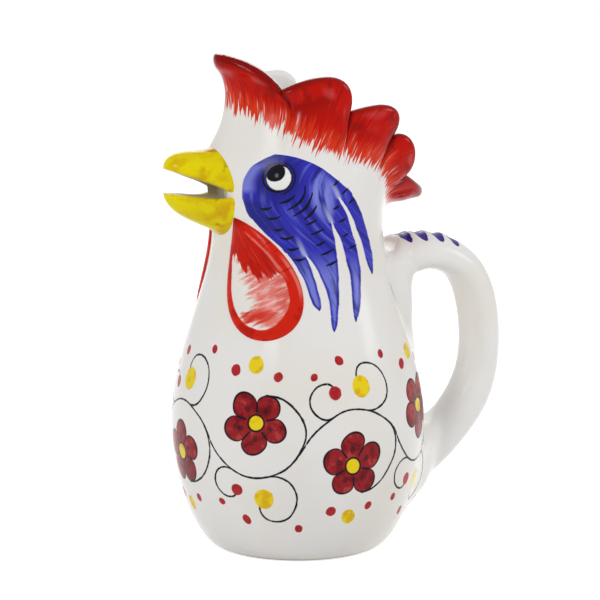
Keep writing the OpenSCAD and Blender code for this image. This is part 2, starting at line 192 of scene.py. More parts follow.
# %% Floor, world and lamps
def white_or(tree, colour):
    """White for the eye, straight on, mirrored or through glass, and a colour for the jug's light."""
    flow = Flow(tree)
    rays = [flow.node("ShaderNodeLightPath", output=f"Is {ray} Ray")
            for ray in ("Camera", "Glossy", "Transmission")]
    return reduce(Flow.most, rays).between(colour, WHITE)


WHITE, BLACK = (1, 1, 1, 1), (0, 0, 0, 1)
SKY = (0.58, 0.58, 0.59, 1)
FLOOR_COLOUR = (0.86, 0.86, 0.86, 1)
FLOOR_GLOW, FLOOR_ROUGH = 0.72, 0.9
FLOOR_HALF = 3.0
FLOOR_DROP = 0.0003

world = bpy.data.worlds.new("studio")
world.use_nodes = True
scene.world = world
background = world.node_tree.nodes["Background"]
world.node_tree.links.new(white_or(world.node_tree, SKY).socket, background.inputs["Color"])

floor_material = bpy.data.materials.new("pale_floor")
floor_material.use_nodes = True
floor_tree = floor_material.node_tree
floor_shader = floor_tree.nodes["Principled BSDF"]
floor_shader.inputs["Base Color"].default_value = FLOOR_COLOUR
floor_shader.inputs["Roughness"].default_value = FLOOR_ROUGH
floor_shader.inputs["Specular IOR Level"].default_value = 0.0
floor_shader.inputs["Emission Strength"].default_value = FLOOR_GLOW
floor_tree.links.new(white_or(floor_tree, BLACK).socket, floor_shader.inputs["Emission Color"])

floor_mesh = bpy.data.meshes.new("floor")
floor_corners = [(-1, -1), (1, -1), (1, 1), (-1, 1)]
floor_mesh.from_pydata([(x * FLOOR_HALF, y * FLOOR_HALF, -FLOOR_DROP) for x, y in floor_corners],
                       [], [(0, 1, 2, 3)])
floor_mesh.materials.append(floor_material)
floor = add_object("floor", floor_mesh)

LAMPS = {
    "key_lamp": ((-1.05, -0.75, 0.80), 0.34, 5.8),
    "fill_lamp": ((1.05, -0.70, 0.60), 0.34, 4.3),
    "back_lamp": ((0.30, 1.10, 0.90), 0.70, 4.4),
}
for name, (place, size, watts) in LAMPS.items():
    lamp_data = bpy.data.lights.new(name, "AREA")
    lamp_data.size = size
    lamp_data.energy = watts
    lamp = add_object(name, lamp_data)
    lamp.location = place
    lamp.rotation_euler = (AIM - lamp.location).to_track_quat("-Z", "Y").to_euler()
print("lamps", list(LAMPS))

# %% [markdown]
# ## The belly
# A potter turns the belly on a wheel, so one section of its wall, carried round the axis, is the whole
# piece. A Screw modifier could do that, but it leaves the poles open. Here the section is a Bezier curve,
# and a geometry tree sweeps it round a small circle and merges the points that meet on the axis.
# The section runs from the middle of the underside over the foot ring, up the outside to the seam with
# the head, and down the inside to the middle of the floor.

# %% The section of the turned wall, in millimetres
FOOT_R, BELLY_R, NECK_R = 41, 64.3, 43
BELLY_Z, SEAM_Z = 63, 162
WALL, FLOOR_T = 5, 6
FOOT_RING_W, FOOT_RECESS, FOOT_ROUND = 7, 1.5, 1.2
FOOT_RUN, FOOT_RISE, SHOULDER, THROAT = 0.42, 0.52, 0.36, 0.3


def mix(a, b, share):
    return a + (b - a) * share


def flank(inset, low):
    """Knots of the wall from the foot to the seam, each with the handle before and after it."""
    foot, belly, neck = FOOT_R - inset, BELLY_R - inset, NECK_R - inset
    return [
        ((foot, low), None, (mix(foot, belly, FOOT_RUN), low)),
        ((belly, BELLY_Z), (belly, mix(low, BELLY_Z, FOOT_RISE)), (belly, mix(BELLY_Z, SEAM_Z, SHOULDER))),
        ((neck, SEAM_Z), (neck, mix(SEAM_Z, BELLY_Z, THROAT)), None),
    ]


ring_in = FOOT_R - FOOT_RING_W
underside = [
    ((0, FOOT_RECESS), None, None),
    ((ring_in - FOOT_ROUND, FOOT_RECESS), None, (ring_in, FOOT_RECESS)),
    ((ring_in + FOOT_ROUND, 0), (ring_in, 0), None),
]
inside = [(knot, after, before) for knot, before, after in reversed(flank(WALL, FLOOR_T))]
section_knots = underside + flank(0, 0) + inside + [((0, FLOOR_T), None, None)]
print("section knots", len(section_knots))


# %% A curve from knots
def bezier_object(name, knots, place, resolution):
    """A curve object through knots. place turns a knot's two numbers into a point in metres."""
    curve = bpy.data.curves.new(name, "CURVE")
    curve.dimensions = "3D"
    spline = curve.splines.new("BEZIER")
    spline.bezier_points.add(len(knots) - 1)
    spline.resolution_u = resolution
    for point, (knot, before, after) in zip(spline.bezier_points, knots):
        point.handle_left_type = "VECTOR" if before is None else "FREE"
        point.handle_right_type = "VECTOR" if after is None else "FREE"
        point.co = place(*knot)
        point.handle_left = place(*(knot if before is None else before))
        point.handle_right = place(*(knot if after is None else after))
    return add_object(name, curve)


# %% Geometry trees, and a settled mesh from an object's modifiers
def start_tree(name, source, inputs, result):
    """A geometry tree with named inputs, the flow of each input, and the settings for a modifier."""
    tree = bpy.data.node_groups.new(name, "GeometryNodeTree")
    tree.interface.new_socket(source, in_out="INPUT", socket_type="NodeSocketGeometry")
    settings = [(tree.interface.new_socket(label, in_out="INPUT", socket_type=kind), value)
                for label, (kind, value) in inputs.items()]
    tree.interface.new_socket(result, in_out="OUTPUT", socket_type="NodeSocketGeometry")
    group_in = tree.nodes.new("NodeGroupInput")
    return tree, {socket.name: Flow(tree, socket) for socket in group_in.outputs if socket.name}, settings


def close_tree(shape, coat, result):
    """The end of a tree: smooth faces, no instances, a glaze and the output."""
    shape = shape.node("GeometryNodeSetShadeSmooth", inputs={"Geometry": shape})
    shape = shape.node("GeometryNodeRealizeInstances", inputs={"Geometry": shape})
    shape = shape.node("GeometryNodeSetMaterial", inputs={"Geometry": shape, "Material": coat})
    shape.node("NodeGroupOutput", inputs={result: shape})


def add_tree(obj, tree, settings):
    """A geometry tree as the object's modifier, with its inputs set by identifier."""
    modifier = obj.modifiers.new(tree.name, "NODES")
    modifier.node_group = tree
    for socket, value in settings:
        modifier[socket.identifier] = value


@contextmanager
def reshaped(mesh):
    """A bmesh to change, which is written back to the mesh at the end."""
    work = bmesh.new()
    work.from_mesh(mesh)
    yield work
    work.to_mesh(mesh)
    work.free()


def settle(obj, name):
    """The result of an object's modifiers as a plain mesh object, with its faces outwards."""
    graph = bpy.context.evaluated_depsgraph_get()
    mesh = bpy.data.meshes.new_from_object(obj.evaluated_get(graph))
    bpy.data.objects.remove(obj)
    with reshaped(mesh) as work:
        if work.calc_volume(signed=True) < 0:
            bmesh.ops.reverse_faces(work, faces=work.faces)
    mesh.name = name
    return add_object(name, mesh)


# %% The tree that turns a section round the axis
CORE_R = 1
LATHE_COLUMNS = 208
LATHE_STEPS = 36
MERGE = 0.00001

plain_glaze = bpy.data.materials.new("plain_glaze")
lathe, given, lathe_settings = start_tree("lathe", "Section", {
    "Columns": ("NodeSocketInt", LATHE_COLUMNS),
    "Core radius": ("NodeSocketFloat", CORE_R * MM),
    "Glaze": ("NodeSocketMaterial", plain_glaze),
}, "Turned")
section = given["Section"]
circle = section.node("GeometryNodeCurvePrimitiveCircle", {"mode": "RADIUS"},
                      {"Resolution": given["Columns"], "Radius": given["Core radius"]})
turned = section.node("GeometryNodeCurveToMesh", inputs={"Curve": circle, "Profile Curve": section})
turned = turned.node("GeometryNodeMergeByDistance", inputs={"Geometry": turned, "Distance": MERGE})
close_tree(turned, given["Glaze"], "Turned")
print("lathe nodes", len(lathe.nodes))

# %% Turn the belly
section_object = bezier_object("body_section", section_knots,
                               lambda r, z: ((r - CORE_R) * MM, -z * MM, 0), LATHE_STEPS)
add_tree(section_object, lathe, lathe_settings)
body = settle(section_object, "body")
body_box = np.array([v.co for v in body.data.vertices])
print("body", len(body.data.polygons), "faces", body_box.min(0).round(4), body_box.max(0).round(4))

# %% [markdown]
# ## The head and its comb
# The head is modelled by hand, so it has no single section. Its wall is a loft: at each station round the
# neck one five-point curve climbs from the seam over the cheek and the brow to a notch of the comb, and
# the lobes rise between the notches. Short tables give those guide points as shares of the head's sizes,
# a smooth course runs through each table, and arrays of points take the place of a slow vertex loop.
# The right side mirrors the left, so the stations run from the brow (0) to the nape (5) and back.

# %% Sizes and guide tables of the head
COMB_BACK, COMB_HALF_W, COMB_RISE = 60, 32, 64
FACE_REACH, CHEEK_HALF_W = 62, 45
LOBE_H, LOBE_SWELL, RIM_WALL = 20.5, 2.4, 5
LAST = 5
NOTCH_SHARES = [(-0.64, 0, 1), (-0.33, 0.81, 1.08), (0.22, 1, 0.92),
                (0.63, 0.87, 0.69), (0.84, 0.65, 0.38), (1, 0, 0.19)]
CHEEK_SHARES = [(-1, 0, 0.59), (-0.58, 0.8, 0.55), (0.06, 1, 0.5),
                (0.42, 0.8, 0.4), (0.6, 0.44, 0.26), (0.74, 0, 0.12)]
BROW_SHARES = [(-0.33, 0, 0.93), (-0.1, 0.8, 0.86), (0.16, 1.04, 0.75),
               (0.5, 0.94, 0.55), (0.7, 0.68, 0.31), (0.88, 0, 0.18)]
SEAM_ANGLES = [0, 50, 92, 124, 152, 180]
LEAN_ANGLES = [-13, 2, 24, 50, 80, 82]
UPRIGHT_SHARES = [0.2, 0.2, 0.18, 0.12, 0.06, 0.03]
LOBE_H_SHARES = np.array([1, 0.6, 0.6, 0.42, 0.45])
LOBE_LEANS = np.array([1, 2.2, 1.8, 0.65, 1])
LOBE_FULLNESS = np.array([0.98, 0.48, 0.57, 0.8, 1])
SWELL_START, SWELL_FULL = 0.55, 0.85


def course(table, before, after, u):
    """A smooth course through a table of stations, with a value past each end."""
    rows = np.array([before, *table, after], float).reshape(len(table) + 2, -1)
    i = np.minimum(np.floor(u).astype(int), LAST - 1)
    f = (u - i)[:, None]
    p, q, r, s = rows[i], rows[i + 1], rows[i + 2], rows[i + 3]
    return q + f / 2 * (r - p + f * (2 * p - 5 * q + 4 * r - s + f * (3 * (q - r) + s - p)))


def even_course(table, u):
    return course(table, table[1], table[-2], u)[:, 0]


def point_course(shares, reach, half_w, u):
    """A course of guide points, given in shares of a reach, a half width and the comb's rise."""
    table = np.array(shares) * (reach, -half_w, COMB_RISE) + (0, 0, SEAM_Z)
    reflect = np.array((1, -1, 1))
    return course(table, table[1] * reflect, table[-2] * reflect, u)


def bezier(guides, t):
    """Points at the shares t of Bezier curves: guides are (curve, guide, axis)."""
    points = np.repeat(guides[:, None], len(t), axis=1)
    while points.shape[2] > 1:
        points = mix(points[:, :, :-1], points[:, :, 1:], t[:, None, None])
    return points[:, :, 0]


def unit(vectors):
    return vectors / np.linalg.norm(vectors, axis=-1, keepdims=True)


# %% Lobes and guide curves at any station
def folded(u):
    return np.where(u > LAST, 2 * LAST - u, u)


def along_lobe(u):
    lobe = np.minimum(np.floor(folded(u)).astype(int), LAST - 1)
    f = folded(u) - lobe
    return lobe, np.where(lobe == 0, (1 + f) / 2, np.where(lobe == LAST - 1, f / 2, f))


def lobe_rise(u):
    lobe, along = along_lobe(u)
    wave = np.sin(np.pi * along ** LOBE_LEANS[lobe]).clip(0)
    return LOBE_H * LOBE_H_SHARES[lobe] * wave ** LOBE_FULLNESS[lobe]


def wall_guides(u, lobe):
    w = folded(u)
    angle = np.radians(course(SEAM_ANGLES, -SEAM_ANGLES[1], 360 - SEAM_ANGLES[-2], w)[:, 0])
    start = np.stack([-NECK_R * np.cos(angle), -NECK_R * np.sin(angle), np.full_like(w, SEAM_Z)], 1)
    upright = start + np.outer(COMB_RISE * even_course(UPRIGHT_SHARES, w), (0, 0, 1))
    lean = np.radians(even_course(LEAN_ANGLES, w))
    leaning = np.stack([np.sin(lean), np.zeros_like(w), np.cos(lean)], 1)
    rim = point_course(NOTCH_SHARES, COMB_BACK, COMB_HALF_W, w) + (lobe - RIM_WALL / 2)[:, None] * leaning
    guides = np.stack([
        start, upright,
        point_course(CHEEK_SHARES, FACE_REACH, CHEEK_HALF_W, w),
        point_course(BROW_SHARES, COMB_BACK, COMB_HALF_W, w),
        rim,
    ], 1)
    guides[u > LAST, :, 1] *= -1
    return guides


# %% Rings of points over the outside, the rounded rim and the inside
LOBE_COLUMNS = 26
OUTER_ROWS, RIM_ROWS, INNER_ROWS = 72, 11, 30
NUDGE = 0.001
BROW_Z, BROW_RUN, BROW_SPREAD, BROW_PUSH = 199, 11, 0.5, 4.5

lobe_steps = (1 - np.cos(np.pi * np.arange(LOBE_COLUMNS) / LOBE_COLUMNS)) / 2
stations = np.concatenate([k + lobe_steps for k in range(2 * LAST)])
rise_here = lobe_rise(stations)
fullness_here = np.sqrt(np.sin(np.pi * along_lobe(stations)[1]).clip(0))
lobed = wall_guides(stations, rise_here)
even = wall_guides(stations, np.zeros_like(stations))


def outward(t):
    along = np.roll(bezier(even, t), -1, 0) - np.roll(bezier(even, t), 1, 0)
    up = bezier(even, t + NUDGE) - bezier(even, t - NUDGE)
    return unit(np.cross(along, up))


def swell(t):
    share = ((t - SWELL_START) / (SWELL_FULL - SWELL_START)).clip(0, 1)
    return LOBE_SWELL * fullness_here[:, None] * (share * share * (3 - 2 * share))[None]


outer_t = np.linspace(0, 1, OUTER_ROWS)
inner_t = np.linspace(1, 0, INNER_ROWS)
outer = bezier(lobed, outer_t) + swell(outer_t)[..., None] * outward(outer_t)
brow = np.exp(-((outer[..., 2] - BROW_Z) / BROW_RUN) ** 2 - (folded(stations)[:, None] / BROW_SPREAD) ** 2)
outer[..., 0] -= BROW_PUSH * brow
inner = bezier(lobed, inner_t) - mix(WALL, RIM_WALL, inner_t)[None, :, None] * outward(inner_t)
top = np.array([1.0])
rim_side = outward(top)
rim_half = (RIM_WALL + swell(top)[..., None]) / 2
rim_middle = bezier(lobed, top) + (swell(top)[..., None] - rim_half) * rim_side
rim_up = unit(lobed[:, 4:] - lobed[:, 3:4])
turns = np.pi * np.arange(1, RIM_ROWS + 1)[None, :, None] / (RIM_ROWS + 1)
rim = rim_middle + rim_half * (np.cos(turns) * rim_side + np.sin(turns) * rim_up)
head_rings = np.concatenate([outer, rim, inner], 1).transpose(1, 0, 2)
print("head rings", head_rings.shape, "highest", round(head_rings[..., 2].max(), 1), "mm")


# %% A closed mesh from rings of points
def ring_mesh(name, rings, closed):
    """Quads between neighbouring rings. closed joins the last ring to the first."""
    count, n = rings.shape[:2]
    r = np.arange(count if closed else count - 1)[:, None]
    k = np.arange(n)[None]
    low, high = r * n, (r + 1) % count * n
    after = (k + 1) % n
    quads = np.stack([low + k, low + after, high + after, high + k], -1).reshape(-1, 4)
    mesh = bpy.data.meshes.new(name)
    mesh.from_pydata((rings.reshape(-1, 3) * MM).tolist(), [], quads.tolist())
    mesh.polygons.foreach_set("use_smooth", [True] * len(quads))
    return add_object(name, mesh)


def add_field(mesh, name, values):
    """Two numbers at each vertex, kept as a UV map, which a cut through the mesh leaves right."""
    layer = mesh.uv_layers.new(name=name)
    corners = np.empty(len(mesh.loops), np.int32)
    mesh.loops.foreach_get("vertex_index", corners)
    layer.data.foreach_set("uv", np.asarray(values, np.float32)[corners].ravel())


head_blank = ring_mesh("head_blank", head_rings, True)
print("head", len(head_blank.data.polygons), "faces")

# %% [markdown]
# ## Fields for the brush
# The painter works on the curved clay, so the brushwork is laid out in millimetres on the surface and kept
# as UV maps. The face is laid out as it shows from the photograph's side, and its right half mirrors the
# left. The comb's strokes run down the columns of the head, so its field is the distance from the ragged
# lower edge of the red. A painted image could hold the same marks, but fields stay sharp at any distance.

# %% The face's field: millimetres to the tail and upwards from the eye, seen from the side
EYE_PIXEL = (277, 178)
FAR_FIELD, UNPAINTED = (0, 200), (0, -200)
to_tail = np.array((math.cos(CAMERA_TURN), math.sin(CAMERA_TURN), 0))
to_sky = np.cross(to_tail, ahead)
eye_in_view = ((EYE_PIXEL[0] - AIM_PIXEL[0]) * MM_PER_PIXEL, (AIM_PIXEL[1] - EYE_PIXEL[1]) * MM_PER_PIXEL)


def side_field(points):
    left = points.copy()
    left[..., 1] = -abs(left[..., 1])
    seen = left - np.array(eye_point) / MM
    scale = CAMERA_AWAY / MM / (seen @ np.array(ahead))
    return np.stack([seen @ to_tail * scale, seen @ to_sky * scale], -1) - eye_in_view


body_points = body_box / MM
add_field(body.data, "side", side_field(body_points))
print("face field", side_field(body_points).min(0).round(1), side_field(body_points).max(0).round(1))

# %% The comb's fields: strokes run down from the rim to a ragged edge
EDGE_DEPTHS = [-2, 18, 20, 14.5, 13.5, 10]
INNER_FALL, INNER_WRAP, FAR_WRAP = 6, 1.3, -1.8

steps = np.linalg.norm(np.diff(head_rings, axis=0), axis=2)
run = np.concatenate([np.zeros((1, len(stations))), np.cumsum(steps, 0)])
crest = OUTER_ROWS + RIM_ROWS // 2
from_crest = abs(run - run[crest])
from_rim = run[OUTER_ROWS - 1] - run
depth_here = even_course(EDGE_DEPTHS, folded(stations)) + rise_here
paint = np.where(from_rim >= 0, depth_here - from_rim, depth_here)
far_side = np.sin(np.pi * (stations - LAST) / LAST).clip(0)
inside_run = run - run[crest] - mix(INNER_WRAP, FAR_WRAP, far_side)
paint = np.where(inside_run > 0, -INNER_FALL * inside_run, paint)
rim_line = head_rings[crest]
rim_steps = np.linalg.norm(np.diff(rim_line, axis=0, append=rim_line[:1]), axis=1)
across = np.concatenate([[0], np.cumsum(rim_steps)[:-1]])
across = np.minimum(across, rim_steps.sum() - across)
notch = np.sin(np.pi * along_lobe(stations)[1]).clip(0)
rows = len(head_rings)
head_side = side_field(head_rings)
head_side[OUTER_ROWS:] = FAR_FIELD
add_field(head_blank.data, "side", head_side.reshape(-1, 2))
add_field(head_blank.data, "comb", np.stack([np.tile(across, (rows, 1)), paint], -1).reshape(-1, 2))
add_field(head_blank.data, "rim", np.stack([from_crest, np.tile(notch, (rows, 1))], -1).reshape(-1, 2))
print("rim is", round(rim_steps.sum()), "mm round")

# %% [markdown]
# ## The mouth
# The beak pours through a slot in the face. The potter cuts it with a knife through the leather-hard clay,
# and a Boolean is the same cut. The exact solver keeps the fields of the wall on both sides of the cut.

# %% Cut the slot through the face
MOUTH_Z, MOUTH_H, MOUTH_HALF_W, MOUTH_ROUND = 182, 10, 10, 2
SLOT_REACH, SLOT_END = -62, -5
CORNER_STEPS = 6
SHARP = math.radians(60)

corner_turns = np.linspace(0, np.pi / 2, CORNER_STEPS)
corner = MOUTH_ROUND * np.stack([np.cos(corner_turns), np.sin(corner_turns)], 1)
corner += (MOUTH_HALF_W - MOUTH_ROUND, MOUTH_H / 2 - MOUTH_ROUND)
slot_half = np.concatenate([corner, corner[::-1] * (-1, 1)])
slot_outline = np.concatenate([slot_half, slot_half[::-1] * (1, -1)]) + (0, MOUTH_Z)
slot_ends = [np.insert(slot_outline, 0, x, axis=1) for x in (SLOT_END, SLOT_REACH)]
slot = ring_mesh("slot", np.array(slot_ends), False)
for name, far in (("side", FAR_FIELD), ("comb", UNPAINTED), ("rim", FAR_FIELD)):
    add_field(slot.data, name, [far] * len(slot.data.vertices))
with reshaped(slot.data) as work:
    bmesh.ops.holes_fill(work, edges=work.edges)
    bmesh.ops.recalc_face_normals(work, faces=work.faces)
cut = head_blank.modifiers.new("mouth", "BOOLEAN")
cut.operation = "DIFFERENCE"
cut.solver = "EXACT"
cut.object = slot
walls = BVHTree.FromPolygons(
    [v.co / MM for o in (body, head_blank) for v in o.data.vertices],
    [list(p.vertices) for p in body.data.polygons]
    + [[i + len(body.data.vertices) for i in p.vertices] for p in head_blank.data.polygons])
head = settle(head_blank, "comb_head")
bpy.data.objects.remove(slot)
for piece in (head, body):
    piece.data.set_sharp_from_angle(angle=SHARP)
print("head", len(head.data.polygons), "faces,", [layer.name for layer in head.data.uv_layers])

# %% [markdown]
# ## The beak
# Each half of the beak is a scooped blade, pressed from a small slab and luted over the slot. Its rings
# follow one section that shrinks to the tip, which is a rule, so a loop writes a coarse cage, and
# Subdivision Surface rounds its lips as a wet finger would. The root is set a little into the wall and
# flares there, because slip fills the corner between two pieces of clay.

# %% Seats on the walls
def seat(origin, way):
    """The first point where a ray meets the body or the head, in millimetres, and the outward normal."""
    place, normal, _, _ = walls.ray_cast(Vector(origin), Vector(way))
    return np.array(place), np.array(normal)


AFAR, NEARBY = 150, 15
BEAK_HALF_W, BEAK_REACH = 16, 72.5
TIP_POWER, SCOOP_H, SCOOP_END = 6, 0.3, 0.85
BEAK_ROWS, OUTER_ARCH, INNER_ARCH = 9, 11, 9
ROOT_SINK, ROOT_FLARE, FLARE_RUN = 1.6, 0.07, 0.12
CORNER_CLOSE, CORNER_RUN = 2.8, 0.32
ROW_POWER, LAST_ROW, ROUNDINGS = 1.5, 0.985, 3
UPPER_BLADE = {"rise": 19, "taper": 0.55, "root_edge": 183.5, "tip_edge": 194}
LOWER_BLADE = {"rise": -18, "taper": 0.52, "root_edge": 178.5, "tip_edge": 182.2}


def beak_section(v, rise, taper, root_edge, tip_edge):
    """Points round the blade at the share v of its length: the outer arch, then the scoop."""
    size = (1 - taper * v) * math.sqrt(max(0, 1 - v ** TIP_POWER))
    edge = mix(root_edge, tip_edge, v)
    scoop = SCOOP_H * rise * size * max(0, 1 - v / SCOOP_END)
    flare = 1 + ROOT_FLARE * max(0, 1 - v / FLARE_RUN) ** 2
    outer = np.linspace(0, np.pi, OUTER_ARCH)
    inner = np.linspace(np.pi, 0, INNER_ARCH)
    close = math.copysign(CORNER_CLOSE * max(0, 1 - v / CORNER_RUN) ** 2, rise) * np.cos(outer) ** 6
    arch = edge - close + rise * size * flare * np.sin(outer)
    return np.concatenate([
        np.stack([BEAK_HALF_W * size * flare * np.cos(outer), arch], 1),
        np.stack([MOUTH_HALF_W * size * np.cos(inner), edge + scoop * np.sin(inner)], 1)])


def beak_blade(name, shape):
    root_x = np.array([seat((-AFAR, y, z), (1, 0, 0))[0][0] for y, z in beak_section(0, **shape)])
    shares = [0, 0] + [1 - (1 - i / BEAK_ROWS) ** ROW_POWER for i in range(1, BEAK_ROWS)] + [LAST_ROW]
    rings = []
    for i, v in enumerate(shares):
        x = mix(root_x, -BEAK_REACH, v) + (ROOT_SINK if i == 0 else 0)
        rings.append(np.column_stack([x, beak_section(v, **shape)]))
    blade = ring_mesh(name, np.array(rings), False)
    with reshaped(blade.data) as work:
        caps = bmesh.ops.holes_fill(work, edges=work.edges)["faces"]
        bmesh.ops.poke(work, faces=caps)
        bmesh.ops.recalc_face_normals(work, faces=work.faces)
    scooped = np.concatenate([np.zeros(OUTER_ARCH), np.ones(INNER_ARCH)])
    ring_fields = [np.column_stack([np.full(len(scooped), v), scooped]) for v in shares]
    pole_fields = [[(0, 0), (1, 0)]]
    add_field(blade.data, "blade", np.concatenate(ring_fields + pole_fields)[:len(blade.data.vertices)])
    round_off = blade.modifiers.new("rounded", "SUBSURF")
    round_off.levels = round_off.render_levels = ROUNDINGS
    made = settle(blade, name)
    made.data.polygons.foreach_set("use_smooth", [True] * len(made.data.polygons))
    return made


upper_beak = beak_blade("upper_blade", UPPER_BLADE)
lower_beak = beak_blade("lower_blade", LOWER_BLADE)
for blade in (upper_beak, lower_beak):
    corners = np.array([v.co for v in blade.data.vertices])
    print(blade.name, len(blade.data.polygons), "faces", corners.min(0).round(4), corners.max(0).round(4))

# %% [markdown]
# ## Eyes and wattles
# Both are pads of clay pressed on to the wall: an eye is a round pellet, a wattle a flat teardrop. A pad
# is a stack of shrinking outlines, each point of which is set on the wall by a ray, so that the pad follows
# the round neck. A Shrinkwrap modifier would do as much, but rays also give the wall's normal for the lift.

# %% A pad from outlines on the wall
PAD_RINGS, EYE_COLUMNS, WATTLE_COLUMNS = 20, 64, 112
PAD_SINK = 0.6


def pad_mesh(name, rings, poles, fields):
    """A closed pad: rings from the sunk base out to the crown, with a pole at each end."""
    n = rings.shape[1]
    made = ring_mesh(name, rings, False)
    with reshaped(made.data) as work:
        ring_verts = list(work.verts)
        for ends, pole in ((ring_verts[:n], poles[0]), (ring_verts[-n:], poles[1])):
            middle = work.verts.new(pole * MM)
            for k in range(n):
                work.faces.new((ends[k], ends[k - 1], middle)).smooth = True
        bmesh.ops.recalc_face_normals(work, faces=work.faces)
    for field, values in fields.items():
        add_field(made.data, field, values)
    return made


def mirrored(obj, name, turn=0):
    """The same pad on the bird's right side, turned round the neck by an angle."""
    mesh = obj.data.copy()
    with reshaped(mesh) as work:
        for v in work.verts:
            v.co.y = -v.co.y
        bmesh.ops.rotate(work, verts=work.verts, matrix=Matrix.Rotation(-turn, 3, "Z"))
        bmesh.ops.reverse_faces(work, faces=work.faces)
    return add_object(name, mesh)


shares = np.sin(np.linspace(np.pi / 2, 0, PAD_RINGS, endpoint=False))

# %% The eyes
EYE_R, EYE_RAISE, EYE_Z, EYE_Y = 6.5, 2.4, 190.5, 33

eye_middle, eye_out = seat((-AFAR, -EYE_Y, EYE_Z), (1, 0, 0))
eye_along = unit(np.cross(eye_out, (0, 0, 1)))
eye_up = np.cross(eye_along, eye_out)
angles = 2 * np.pi * np.arange(EYE_COLUMNS) / EYE_COLUMNS


def eye_point_at(share, angle, lift):
    flat = eye_middle + EYE_R * share * (np.cos(angle) * eye_along + np.sin(angle) * eye_up)
    place, _ = seat(flat + NEARBY * eye_out, -eye_out)
    return place + lift * eye_out


eye_rings = [[eye_point_at(1, a, -PAD_SINK) for a in angles]]
for s in shares:
    dome = EYE_RAISE * math.sqrt(max(0, 1 - s * s))
    eye_rings.append([eye_point_at(s, a, dome) for a in angles])
eye_poles = [eye_point_at(0, 0, -PAD_SINK), eye_point_at(0, 0, EYE_RAISE)]
eye_field = [(s * math.cos(a), s * math.sin(a)) for s in [1, *shares] for a in angles] + [(0, 0), (0, 0)]
left_eye = pad_mesh("left_pellet", np.array(eye_rings), eye_poles, {"eye": eye_field})
right_eye = mirrored(left_eye, "right_pellet")
print("eye at", eye_middle.round(1), "facing", eye_out.round(2))

# %% The wattles
WATTLE_L, WATTLE_W, WATTLE_TIP_Z, WATTLE_RAISE = 63.3, 39, 170, 2.4
WATTLE_TILT = math.radians(29)
WATTLE_POINT, WATTLE_MIDDLE = 0.7, 0.56
WATTLE_TIP_ANGLE = math.radians(19.2)
FAR_WATTLE_TURN = math.radians(10)
FLANK_STEPS = 200

foot_knot, belly_knot, neck_knot = flank(0, 0)
flank_guides = np.array([[foot_knot[0], foot_knot[2], belly_knot[1], belly_knot[0]],
                         [belly_knot[0], belly_knot[2], neck_knot[1], neck_knot[0]]], float)
flank_points = bezier(flank_guides, np.linspace(0, 1, FLANK_STEPS)).reshape(-1, 2)


def body_r(z):
    return np.interp(z, flank_points[:, 1], flank_points[:, 0])


point_power = 1 + WATTLE_POINT
fullest = 2 * math.sqrt(1 / (1 + point_power)) * (point_power / (1 + point_power)) ** (point_power / 2)
pad_middle = np.array((0, WATTLE_MIDDLE * WATTLE_L))
pad_round_r = body_r(WATTLE_TIP_Z - pad_middle[1])
angles = 2 * np.pi * np.arange(WATTLE_COLUMNS) / WATTLE_COLUMNS
pad_outline = np.stack([WATTLE_W / 2 * np.sin(angles) * np.sin(angles / 2) ** WATTLE_POINT / fullest,
                        WATTLE_L / 2 * (1 - np.cos(angles))], 1)


def pad_point(flat, lift):
    """A point of the flat teardrop, hung at its tilt and wrapped round the neck."""
    around = flat[0] * math.cos(WATTLE_TILT) + flat[1] * math.sin(WATTLE_TILT)
    z = WATTLE_TIP_Z + flat[0] * math.sin(WATTLE_TILT) - flat[1] * math.cos(WATTLE_TILT)
    angle = WATTLE_TIP_ANGLE + around / pad_round_r
    out = np.array((-math.cos(angle), -math.sin(angle), 0))
    place, _ = seat(AFAR * out + (0, 0, z), -out)
    return place + lift * out


flat_rings = [mix(pad_middle, pad_outline, s) for s in [1, *shares]]
lifts = [-PAD_SINK] + [WATTLE_RAISE * math.sqrt(max(0, 1 - s ** 4)) for s in shares]
wattle_rings = np.array([[pad_point(p, lift) for p in ring] for ring, lift in zip(flat_rings, lifts)])
wattle_poles = [pad_point(pad_middle, -PAD_SINK), pad_point(pad_middle, WATTLE_RAISE)]
pad_size = np.linalg.norm(pad_outline - pad_middle, axis=1)
pad_field = np.concatenate([*flat_rings, [pad_middle, pad_middle]])
edge_field = np.concatenate([np.stack([(1 - s) * pad_size, angles], 1) for s in [1, *shares]]
                            + [[(pad_size.min(), 0)] * 2])
left_wattle = pad_mesh("left_teardrop", wattle_rings, wattle_poles, {"pad": pad_field, "edge": edge_field})
right_wattle = mirrored(left_wattle, "right_teardrop", FAR_WATTLE_TURN)
print("wattle", len(left_wattle.data.polygons), "faces, lowest", wattle_rings[..., 2].min().round(1))

# %% [markdown]
# ## The handle
# A potter pulls the handle as a strap, bends it and lutes its two ends on, then presses a few ridges for
# the thumb. A bevelled curve would give an even bar, but this one swells towards its roots, has a web
# under the upper root, a dip over it and ridges along the top. So a geometry tree sweeps a circle along the
# course, keeps on each point how far along and which way round it lies, and sets the point by sums on those
# numbers.

